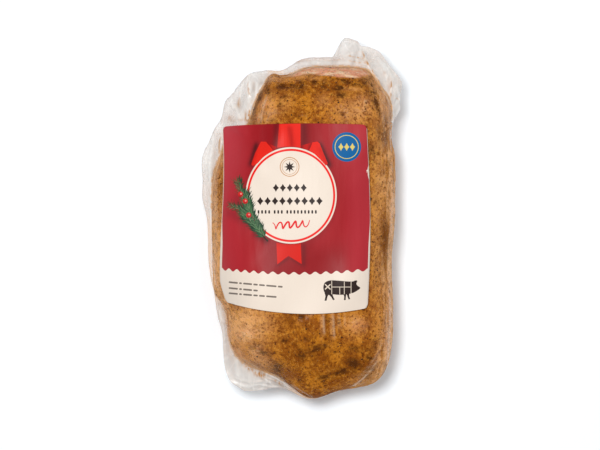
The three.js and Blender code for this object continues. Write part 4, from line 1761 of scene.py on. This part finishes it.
    def _ribbon(self) -> None:
        """The ribbon: a band down from the top edge, two loops, and a notched tail."""
        band = [(-13.7, 54.2), (-14.8, 40.7), (-10.5, 41.2), (-5, 41.2), (-1.4, 40.6), (-1.4, 54.5)]
        tail = [(-15.3, -14), (-11, -14.7), (-6.9, -14.9), (-3, -14.6), (-1.3, -14.2), (-0.8, -26.2)]
        tail += [(-8.4, -21.5), (-14.8, -26.4)]
        left = [(-24.2, 44.2), (-21.4, 44.1), (-18.8, 41.2), (-17.2, 38.9), (-22.5, 35.6), (-26.2, 31.6)]
        left += [(-28.9, 30.2), (-29.8, 31.2), (-27.6, 37.5)]
        left_inside = [(-21.4, 44.1), (-18.4, 42.3), (-14.9, 41), (-14.5, 40.4), (-17.2, 38.9), (-18.8, 41.2)]
        right = [(5.4, 43.7), (8.3, 44.2), (9.6, 43), (11.8, 37.4), (14.2, 31.6), (13.1, 30.3)]
        right += [(9.8, 33.9), (6.6, 37), (3.4, 39), (4.6, 41.4)]
        right_inside = [(-1.4, 41.8), (5.4, 43.7), (4.6, 41.4), (3.4, 39), (-1.4, 40.3)]
        bright = Ink("ribbon_red", (0.83, 0.022, 0.012), (0.42, 0.006, 0.004))
        inner = Ink("ribbon_inside", (0.56, 0.012, 0.01), (0.2, 0.004, 0.005))
        folds = several(
            Streak,
            (-7.9, 53.5, -6, 40, 1.5, 0.85), (-14.2, 56, -14.4, 39, 0.7, 0.5),
            (-26.6, 41.5, -30, 30, 1.1, 0.5), (9, 41.5, 14.2, 30, 1.4, 0.45),
            (-17, -14.6, 1, -14.4, 1.2, 0.6), (-8.2, -15, -8, -22.5, 1.4, 0.35),
            (-8, -11, -8, -30, 12, 0.34),
        )
        creases = several(
            Streak,
            (-14.6, 43, -14.4, 38, 1.6, 0.8), (-21, 44, -17.2, 37.6, 1.1, 0.8),
            (-1.2, 43, -1.2, 38, 1.6, 0.8), (5.6, 44, 3.2, 38, 1.1, 0.8),
        )
        insides = [left_inside, right_inside]
        self.ink("ribbon_insides", insides, inner, "label_red", Layer.SECOND, creases)
        self.ink("ribbon", [band, tail, left, right], bright, "ribbon_red", Layer.THIRD, folds)

    def _words(self) -> None:
        """Plain shapes in the place of words: lozenges, bars, a flourish and a ring."""
        dark = Ink("print_dark", (0.03, 0.017, 0.014))
        gold = Ink("print_gold", (0.6, 0.31, 0.14))
        upper = [self._lozenge(-7.6 + (i - 2) * 4.0, 17.6, 1.75, 2.3) for i in range(5)]
        lower = [self._lozenge(-7.6 + (i - 4) * 4.25, 10.0, 1.9, 2.4) for i in range(9)]
        self.ink("title_lozenges", upper + lower, dark, "print_dark")
        self.ink("title_ticks", self._ticks(), dark, "print_dark")
        self.ink("flourish", [self._flourish()], Ink("print_red", (0.8, 0.022, 0.026)), "ribbon_red")
        centre = (-7.7, 29.6)
        self.ink("emblem_ring", ring(centre, 5.4, 0.45) + ring(centre, 4.3, 0.25), gold, "label_paper")
        self.ink("emblem_star", [oval(centre, 3.3, 3.3, 16, 1.4 / 3.3)], dark, "print_dark")
        self.ink("small_lines", self._small_lines(), Ink("print_grey", (0.22, 0.18, 0.15)), "print_dark")

    def _lozenge(self, x: float, y: float, across: float, along: float) -> list[Plan]:
        """The outline of a lozenge with hollow sides."""
        return oval((x, y), across, along, 8, self.lozenge_hollow)

    @staticmethod
    def _ticks() -> list[list[Plan]]:
        """A row of short upright bars in three groups.

        Returns:
            Their outlines.
        """
        x, pitch, gap = -25.6, 2.05, 1.1
        ticks = []
        for count in (4, 3, 9):
            ticks += [bar((x + pitch * i, 3.2), (x + pitch * i, 4.3), 1.0) for i in range(count)]
            x += pitch * count + gap
        return ticks

    @staticmethod
    def _flourish() -> list[Plan]:
        """A wavy line of loops, thinner towards its ends.

        Returns:
            Its outline.
        """
        width, waves = 1.05, 5
        t = np.linspace(0, 1, 61)
        x = -17.6 + 21.4 * t + 0.5 * np.sin((2 * waves + 1) * math.pi * t)
        path = np.column_stack([x, -4.4 + 1.6 * t + 1.9 * np.cos(2 * waves * math.pi * t)])
        along = np.gradient(path, axis=0)
        along /= np.linalg.norm(along, axis=1, keepdims=True)
        taper = np.sin(np.linspace(0.12, math.pi - 0.12, len(t)))[:, None] ** 0.5
        aside = np.column_stack([-along[:, 1], along[:, 0]]) * width / 2 * taper
        return [tuple(spot) for spot in np.concatenate([path - aside, (path + aside)[::-1]])]

    @staticmethod
    def _small_lines() -> list[list[Plan]]:
        """Three tilted rows of short dashes, in the place of small print.

        Returns:
            Their outlines.
        """
        words = (5.4, 1.6, 5.2, 2.6, 3.4, 6.0, 2.8)
        left, gap, width = -42.9, 0.7, 1.0
        dashes = []
        for low, end, tilt in ((-36.7, -10.0, -0.085), (-40.1, -23.0, -0.085), (-43.1, -12.6, -0.075)):
            x = left
            for word in words:
                if x + word > end:
                    break
                near, far = x + width / 2, x + word - width / 2
                ends = [(spot, low + (spot - left) * tilt) for spot in (near, far)]
                dashes.append(bar(*ends, width))
                x += word + gap
        return dashes

    def _badge(self) -> None:
        """The round badge: a blue disc with a thin ring and three lozenges."""
        x, y = centre = (25.1, 41.1)
        blue = Ink("badge_blue", (0.0, 0.12, 0.34))
        yellow = Ink("badge_yellow", (0.75, 0.6, 0.15))
        marks = [self._lozenge(x + 3.3 * i, y, 1.5, 2.3) for i in (-1, 0, 1)]
        self.ink("badge_disc", [oval(centre, 8.3, 8.5, 56)], blue, "badge_blue")
        self.ink("badge_marks", marks + ring(centre, 6.7, 0.4), yellow, "badge_blue", Layer.SECOND)

    def _pig(self) -> None:
        """A small pig with its cuts marked, as on a butcher's chart."""
        body = smooth_loop([
            (11.9, -38.2), (12.9, -36.6), (15.6, -35.6), (20, -35.7), (24.5, -36.1), (28.4, -36.2),
            (29.8, -35.7), (31.2, -35.8), (30.7, -37.4), (31.3, -38.6), (32.9, -39.8), (31.9, -41),
            (29.6, -42.4), (27.2, -43.2), (24.8, -43.7), (20.5, -43.9), (16.8, -43.6), (14, -43.9),
            (12.4, -42.6), (11.7, -40.4),
        ])
        legs = [
            [(12.3, -42.6), (12.9, -44.6), (12.4, -47.3), (13.5, -47.3), (14.1, -44.8), (15, -43.3)],
            [(14.4, -43.4), (16.4, -45.4), (17.2, -47), (18.2, -46.6), (17.3, -44.8), (16.8, -43.2)],
            [(23.2, -43.4), (23.7, -45), (23.5, -46.9), (24.5, -46.9), (24.6, -45), (24.9, -43.2)],
            [(25, -43.4), (25.6, -45), (26.2, -46.6), (27.1, -46.3), (26.5, -44.6), (26.6, -42.8)],
        ]
        thin, bold = 0.35, 0.62
        cuts = [
            bar((16.5, -35.9), (16.5, -43.4), thin),
            bar((21.1, -39.5), (21.1, -43.6), thin),
            bar((23.7, -36.4), (23.7, -43.4), thin),
            bar((27.6, -36.4), (27.6, -42.9), thin),
            bar((16.7, -39.4), (27.4, -39.4), thin),
            bar((12.8, -38.0), (15.6, -40.6), bold),
            bar((12.8, -40.6), (15.6, -38.0), bold),
        ]
        pale = Ink("print_cream", (0.84, 0.71, 0.57))
        self.ink("pig_cuts", cuts, pale, "label_paper", Layer.SECOND)
        self.ink("pig", [body, *legs], Ink("print_pig", (0.032, 0.018, 0.015)), "print_dark")


@dataclass(frozen=True)
class NeedleCoat:
    """A layer of a sprig's needles: sizes and spacing in millimetres, lean, rise, seed and colours."""

    name: str
    length: float
    width: float
    spacing: float
    lean: float
    rise: float
    seed: int
    colour: Colour
    shade: Colour


@dataclass
class Sprig:
    """The spruce sprig: layers of needles along its twigs, with three red berries."""

    label: Label
    paper: Piece
    above: float = 80.0
    berry: Plan = (1.5, 1.55)
    glint: float = 0.55
    coats: tuple[NeedleCoat, ...] = (
        NeedleCoat("sprig_back", 5.6, 0.7, 0.1, 0.95, 0.0, 3, (0.022, 0.07, 0.034), (0.01, 0.028, 0.018)),
        NeedleCoat("sprig_needles", 4.6, 0.46, 0.16, 0.85, 0.03, 4, (0.05, 0.15, 0.055), (0.02, 0.06, 0.03)),
        NeedleCoat("sprig_tips", 3.6, 0.32, 0.5, 0.8, 0.06, 5, (0.2, 0.3, 0.16), (0.06, 0.15, 0.06)),
    )
    twigs: tuple[Outline, ...] = (
        ((-22, -11), (-25.4, -5.8), (-28.4, -0.4), (-31.6, 5.4), (-34.4, 11.6), (-36.6, 18.2), (-37.6, 20.6)),
        ((-29.6, 0.6), (-33.0, 3.4), (-37.2, 5.8), (-41.8, 7.2)),
        ((-24.0, -9.0), (-27.6, -4.6), (-31.6, -0.4), (-35.6, 2.8)),
        ((-30.6, 2.4), (-31.2, 8.0), (-33.2, 14.0)),
    )
    stalk: tuple[Plan, Plan] = ((-22.6, -10.6), (-20.4, -12.9))
    berries: tuple[Plan, ...] = ((-36.0, 13.9), (-33.3, 9.9), (-31.3, 1.9))

    def build(self) -> None:
        """Builds and dresses the needles, the stalk, the berries and their lights."""
        berry = Ink("berry_red", (0.66, 0.022, 0.022), (0.3, 0.01, 0.01))
        light = Ink("berry_light", (0.85, 0.3, 0.24))
        wood = Ink("twig_brown", (0.035, 0.02, 0.012))
        discs = [oval(spot, *self.berry, 22) for spot in self.berries]
        lights = [oval((x + 0.3, y + 0.3), self.glint, self.glint, 12) for x, y in self.berries]
        rims = [Streak(x - 1.4, y - 1.2, x + 1.2, y - 1.4, 0.6, 0.8) for x, y in self.berries]
        for coat in self.coats:
            self._grow(coat)
        self.label.ink("stalk", [bar(*self.stalk, 0.9)], wood, "print_dark", Layer.THIRD)
        self.label.ink("berries", discs, berry, "ribbon_red", Layer.FOURTH, rims)
        self.label.ink("berry_lights", lights, light, "ribbon_red", Layer.FIFTH)

    def _grow(self, coat: NeedleCoat) -> None:
        """Grows a layer of flat needles along the twigs, laid on the label's face.

        Args:
            coat: The layer.
        """
        curve = bpy.data.curves.new(coat.name, "CURVE")
        curve.dimensions = "3D"
        for twig in self.twigs:
            spline = curve.splines.new("POLY")
            spline.points.add(len(twig) - 1)
            spots = self.label.maker.frame.place(np.array([(x, y, self.above) for x, y in twig]))
            for point, spot in zip(spline.points, spots):
                point.co = (*spot, 1)
        material = Ink(coat.name, coat.colour, coat.shade).material()
        tree = NeedleTree(self.paper, material, coat.rise, coat.seed)
        sizes = {"Length": coat.length, "Width": coat.width, "Spacing": coat.spacing}
        values = {name: size * MM for name, size in sizes.items()}
        piece = tree.grown(coat.name, curve, {**values, "Lean": coat.lean})
        self.label.maker.finish(piece, material, "sprig_green")


class GeometryTree(NodeTree):
    """A geometry nodes tree that takes geometry and named numbers, and gives geometry."""

    def __init__(self, name: str, numbers: Sequence[str]) -> None:
        """Starts the tree.

        Args:
            name: The tree's name.
            numbers: The names of its number inputs.
        """
        self.tree = bpy.data.node_groups.new(name, "GeometryNodeTree")
        face = self.tree.interface
        face.new_socket("Geometry", in_out="INPUT", socket_type="NodeSocketGeometry")
        for number in numbers:
            face.new_socket(number, in_out="INPUT", socket_type="NodeSocketFloat")
        face.new_socket("Geometry", in_out="OUTPUT", socket_type="NodeSocketGeometry")
        super().__init__(self.tree)
        self.geometry = self.node("NodeGroupInput")

    def given(self, number: str) -> Signal:
        """One of the numbers that the tree takes."""
        return self.geometry.other(number)

    def random(self, low: float, high: float, seed: int) -> Signal:
        """A random number for each element."""
        values = {2: low, 3: high, "Seed": seed}
        return self.node("FunctionNodeRandomValue", {"data_type": "FLOAT"}, values, output=1)

    def vector(self, x: Signal | float = 0.0, y: Signal | float = 0.0, z: Signal | float = 0.0) -> Signal:
        """A vector of three values."""
        return self.node("ShaderNodeCombineXYZ", inputs={0: x, 1: y, 2: z})

    def strewn(self, placing: Mapping[str, object], mark: str, seed: int) -> Signal:
        """Sets a shape on points as real geometry, with a random mark on each.

        Args:
            placing: The points, the shape as Instance, and its Rotation and Scale.
            mark: The mark's name.
            seed: The number that fixes the marks.

        Returns:
            The geometry.
        """
        copies = self.node("GeometryNodeInstanceOnPoints", inputs=placing)
        settings = {"data_type": "FLOAT", "domain": "INSTANCE"}
        values = {"Geometry": copies, "Name": mark, "Value": self.random(0.0, 1.0, seed)}
        marked = self.node("GeometryNodeStoreNamedAttribute", settings, values)
        return self.node("GeometryNodeRealizeInstances", inputs={0: marked})

    def close(self, geometry: Signal, material: Material) -> None:
        """Dresses the tree's geometry in a material and gives it as the result."""
        dressed = self.node("GeometryNodeSetMaterial", inputs={"Geometry": geometry, "Material": material})
        self._feed(self._nodes.new("NodeGroupOutput"), {0: dressed})

    def grown(self, name: str, data: bpy.types.ID, values: Mapping[str, float]) -> Piece:
        """Runs the tree and keeps its result as a plain mesh.

        Args:
            name: The result's name.
            data: The curve or mesh that gives the tree its geometry.
            values: The tree's numbers, by name.

        Returns:
            The plain mesh object.
        """
        holder = added(name, data)
        modifier = holder.modifiers.new(name, "NODES")
        modifier.node_group = self.tree
        for item in self.tree.interface.items_tree:
            if item.in_out == "INPUT" and item.name in values:
                modifier[item.identifier] = values[item.name]
        bpy.context.view_layer.update()
        evaluated = holder.evaluated_get(bpy.context.evaluated_depsgraph_get())
        mesh = bpy.data.meshes.new_from_object(evaluated)
        bpy.data.objects.remove(holder)
        return added(name, mesh)


class NeedleTree(GeometryTree):
    """Geometry nodes that set flat needles along curves and lay them on a surface."""

    sizes: Plan = (0.6, 1.1)
    heights: Plan = (0.012, 0.04)
    least_lean: float = 0.15

    def __init__(self, surface: Piece, material: Material, rise: float, seed: int) -> None:
        """Builds the tree.

        Args:
            surface: The piece that the needles are laid on.
            material: The needles' material.
            rise: How much higher than a first layer they lie, in millimetres.
            seed: The number that fixes their scatter.
        """
        super().__init__("needles_on_twigs", ("Length", "Width", "Spacing", "Lean"))
        length, spacing = self.given("Length"), self.given("Spacing")
        kite = self.node("GeometryNodeMeshCircle", {"fill_type": "NGON"}, {"Vertices": 4, "Radius": 0.5})
        needle = self.node("GeometryNodeTransform", inputs={
            "Geometry": kite,
            "Translation": self.vector(length * 0.5),
            "Scale": self.vector(length, self.given("Width"), 1.0),
        })
        twigs = {"Curve": self.geometry, "Length": spacing}
        points = self.node("GeometryNodeCurveToPoints", {"mode": "LENGTH"}, twigs)
        tangent = self.node("ShaderNodeSeparateXYZ", inputs={0: points.other("Tangent")})
        needles = self.strewn({
            "Points": points,
            "Instance": needle,
            "Rotation": self.vector(z=tangent.other(1).bearing(tangent) + self._lean(seed)),
            "Scale": self.random(*self.sizes, seed + 20),
        }, "shade", seed + 30)
        target = self.node("GeometryNodeObjectInfo", inputs={0: surface}).other("Geometry")
        ray = {"Target Geometry": target, "Ray Direction": (0, 0, -1), "Ray Length": 1.0}
        hit = self.node("GeometryNodeRaycast", inputs=ray).other("Hit Position")
        height = self.random(*((height + rise) * MM for height in self.heights), seed + 40)
        laid = self.node("ShaderNodeVectorMath", {"operation": "ADD"}, {0: hit, 1: self.vector(z=height)})
        moved = self.node("GeometryNodeSetPosition", inputs={"Geometry": needles, "Position": laid})
        self.close(moved, material)

    def _lean(self, seed: int) -> Signal:
        """How far each needle leans from its twig, to one side or the other."""
        side = self.node("GeometryNodeInputIndex") % 2.0 * 2.0 - 1.0
        return side * (self.random(self.least_lean, 1.0, seed + 10) * self.given("Lean"))


class CrumbTree(GeometryTree):
    """Geometry nodes that scatter flattened crumbs over a piece's crust, thicker in some places."""

    drift: float = 11.0
    least: float = 0.46
    narrowed: Plan = (0.3, 0.85)
    flattened: float = 0.4

    def __init__(self, material: Material, seed: int) -> None:
        """Builds the tree.

        Args:
            material: The crumbs' material.
            seed: The number that fixes their scatter.
        """
        super().__init__("crumbs_on_crust", ("Density", "Size", "Least up"))
        up = self.node("ShaderNodeSeparateXYZ", inputs={0: self.node("GeometryNodeInputNormal")}, output=2)
        above = {"data_type": "FLOAT", "operation": "GREATER_THAN"}
        spots = self.node("GeometryNodeDistributePointsOnFaces", inputs={
            "Mesh": self.geometry,
            "Selection": self.node("FunctionNodeCompare", above, {0: up, 1: self.given("Least up")}),
            "Density": self._thickness(),
            "Seed": seed,
        })
        broad = self.random(0.0, 1.0, seed + 1) ** 3.0 + self.least
        shape = self.vector(broad, broad * self.random(*self.narrowed, seed + 2), self.flattened)
        turns = {
            "Rotation": spots.other("Rotation"),
            "Rotate By": self.vector(z=self.random(0.0, TAU, seed + 3)),
        }
        crumbs = self.strewn({
            "Points": spots,
            "Instance": self.node("GeometryNodeMeshIcoSphere", inputs={"Radius": 0.5, "Subdivisions": 1}),
            "Rotation": self.node("FunctionNodeRotateRotation", {"rotation_space": "LOCAL"}, turns),
            "Scale": self.node(
                "ShaderNodeVectorMath", {"operation": "SCALE"}, {0: shape, "Scale": self.given("Size")}
            ),
        }, "tone", seed + 4)
        self.close(crumbs, material)

    def _thickness(self) -> Signal:
        """How thickly the crumbs lie: in drifts, and hardly any on the cut meat.

        Returns:
            Crumbs on a square metre.
        """
        drifts = self.node("ShaderNodeTexNoise", inputs={"Scale": 1 / (self.drift * MM), "Detail": 2.0})
        read = ("GeometryNodeInputNamedAttribute", {"data_type": "FLOAT"})
        cut, pale = (self.node(*read, {"Name": name}) for name in ("pink", "tan"))
        # The tan mark is partly painted light, so the crumbs also thin out where the sides are lightened.
        bare = 1.0 - (pale * 0.45 + cut)
        return (self.given("Density") * (drifts * 4.0 - 1.1) * bare).most(0.0)


@dataclass(frozen=True)
class CrumbFinish:
    """The crumbs' colours: nearly black pepper, brown herbs and a few golden seeds."""

    black: Colour = (0.03, 0.008, 0.001)
    brown: Colour = (0.12, 0.03, 0.002)
    golden: Colour = (0.5, 0.2, 0.03)

    def material(self) -> Material:
        """Builds the material.

        Returns:
            A material that reads the mark tone.
        """
        tree = Tree("crumbs")
        tone = tree.marked("tone")
        grain = tree.noise(0.4, 2.0)
        base = tree.mix((tone * 0.9 + grain * 0.3).step(0.2, 0.75), self.black, self.brown)
        base = tree.mix(tone.step(0.86, 0.9), base, self.golden)
        return tree.surface({
            "Base Color": base,
            "Roughness": 0.5 + grain * 0.3,
            "Specular IOR Level": 0.15,
            "Normal": tree.bump(grain, 0.1),
        })


@dataclass
class Crumbs:
    """Pepper, herbs and seeds stuck in the glaze, strewn over the ham as real flakes."""

    maker: Maker
    ham: Piece
    density: float = 60000.0
    size: float = 1.2
    least_up: float = 0.05
    seed: int = 60

    def build(self) -> None:
        """Builds and dresses the crumbs, all of them as one piece."""
        material = CrumbFinish().material()
        values = {"Density": self.density, "Size": self.size * MM, "Least up": self.least_up}
        piece = CrumbTree(material, self.seed).grown("crumbs", self.ham.data.copy(), values)
        self.maker.finish(piece, material, "glazed_ham")


# ---- The studio ----


@dataclass(frozen=True)
class Lamp:
    """A square soft light: its name, place and size in metres, and power in watts."""

    name: str
    place: tuple[float, float, float]
    size: float
    power: float

    def hang(self) -> None:
        """Hangs the light, facing the pack."""
        data = bpy.data.lights.new(self.name, "AREA")
        data.size = self.size
        data.energy = self.power
        light = added(self.name, data)
        light.location = self.place
        light.rotation_euler = (-Vector(self.place)).to_track_quat("-Z", "Y").to_euler()


@dataclass(frozen=True)
class Studio:
    """A white floor, soft light from the upper left and a camera straight above."""

    view_centre: Plan = (-1.74, -3.77)
    view_width: float = 348.0
    view_height: float = 30.0
    distance: float = 3.0
    sensor: float = 36.0
    sight: float = 20.0
    floor_reach: float = 4.0
    floor_white: Colour = (0.89, 0.935, 0.975)
    sky: Colour = (0.93, 0.97, 1.0)
    sky_strength: float = 0.23
    lamps: tuple[Lamp, ...] = (
        Lamp("key_light", (-0.23, 0.21, 1.5), 0.4, 17.4),
        Lamp("fill_light", (0.65, -0.05, 1.3), 0.7, 3.4),
    )

    def build(self, place: Frame) -> None:
        """Sets the stage.

        Args:
            place: The frame that the pack is placed by.
        """
        self._floor()
        for lamp in self.lamps:
            lamp.hang()
        world = bpy.data.worlds.new("studio")
        world.use_nodes = True
        light = world.node_tree.nodes["Background"].inputs
        light["Color"].default_value = (*self.sky, 1)
        light["Strength"].default_value = self.sky_strength
        bpy.context.scene.world = world
        bpy.context.scene.view_settings.view_transform = "Standard"
        self._camera(place)

    def _floor(self) -> None:
        """Lays a white floor."""
        far = self.floor_reach
        data = bpy.data.meshes.new("floor")
        data.from_pydata([(-far, -far, 0), (far, -far, 0), (far, far, 0), (-far, far, 0)], [], [(0, 1, 2, 3)])
        data.materials.append(Tree("white_floor").surface({
            "Base Color": self.floor_white,
            "Roughness": 0.9,
            "Emission Color": (1.0, 1.0, 1.0),
            "Emission Strength": 0.1,
        }))
        added("floor", data)

    def _camera(self, place: Frame) -> None:
        """Sets the camera straight above the pack.

        Args:
            place: The frame that the pack is placed by.
        """
        data = bpy.data.cameras.new("camera")
        data.sensor_width = self.sensor
        data.lens = self.sensor * self.distance / (self.view_width * MM)
        data.clip_end = self.sight
        camera = added("camera", data)
        camera.location = place.place(np.array([*self.view_centre, self.view_height])) + (0, 0, self.distance)
        bpy.context.scene.camera = camera


def main() -> None:
    """Builds the pack's pieces and the studio."""
    logging.basicConfig(level=logging.INFO, format="%(message)s")
    place = Frame("sealed_bag")
    maker = Maker(place)
    ham = Ham(maker).build()
    Crumbs(maker, ham).build()
    FilmBag(maker).build()
    Label(maker).build()
    Studio().build(place)


if __name__ == "__main__":
    main()
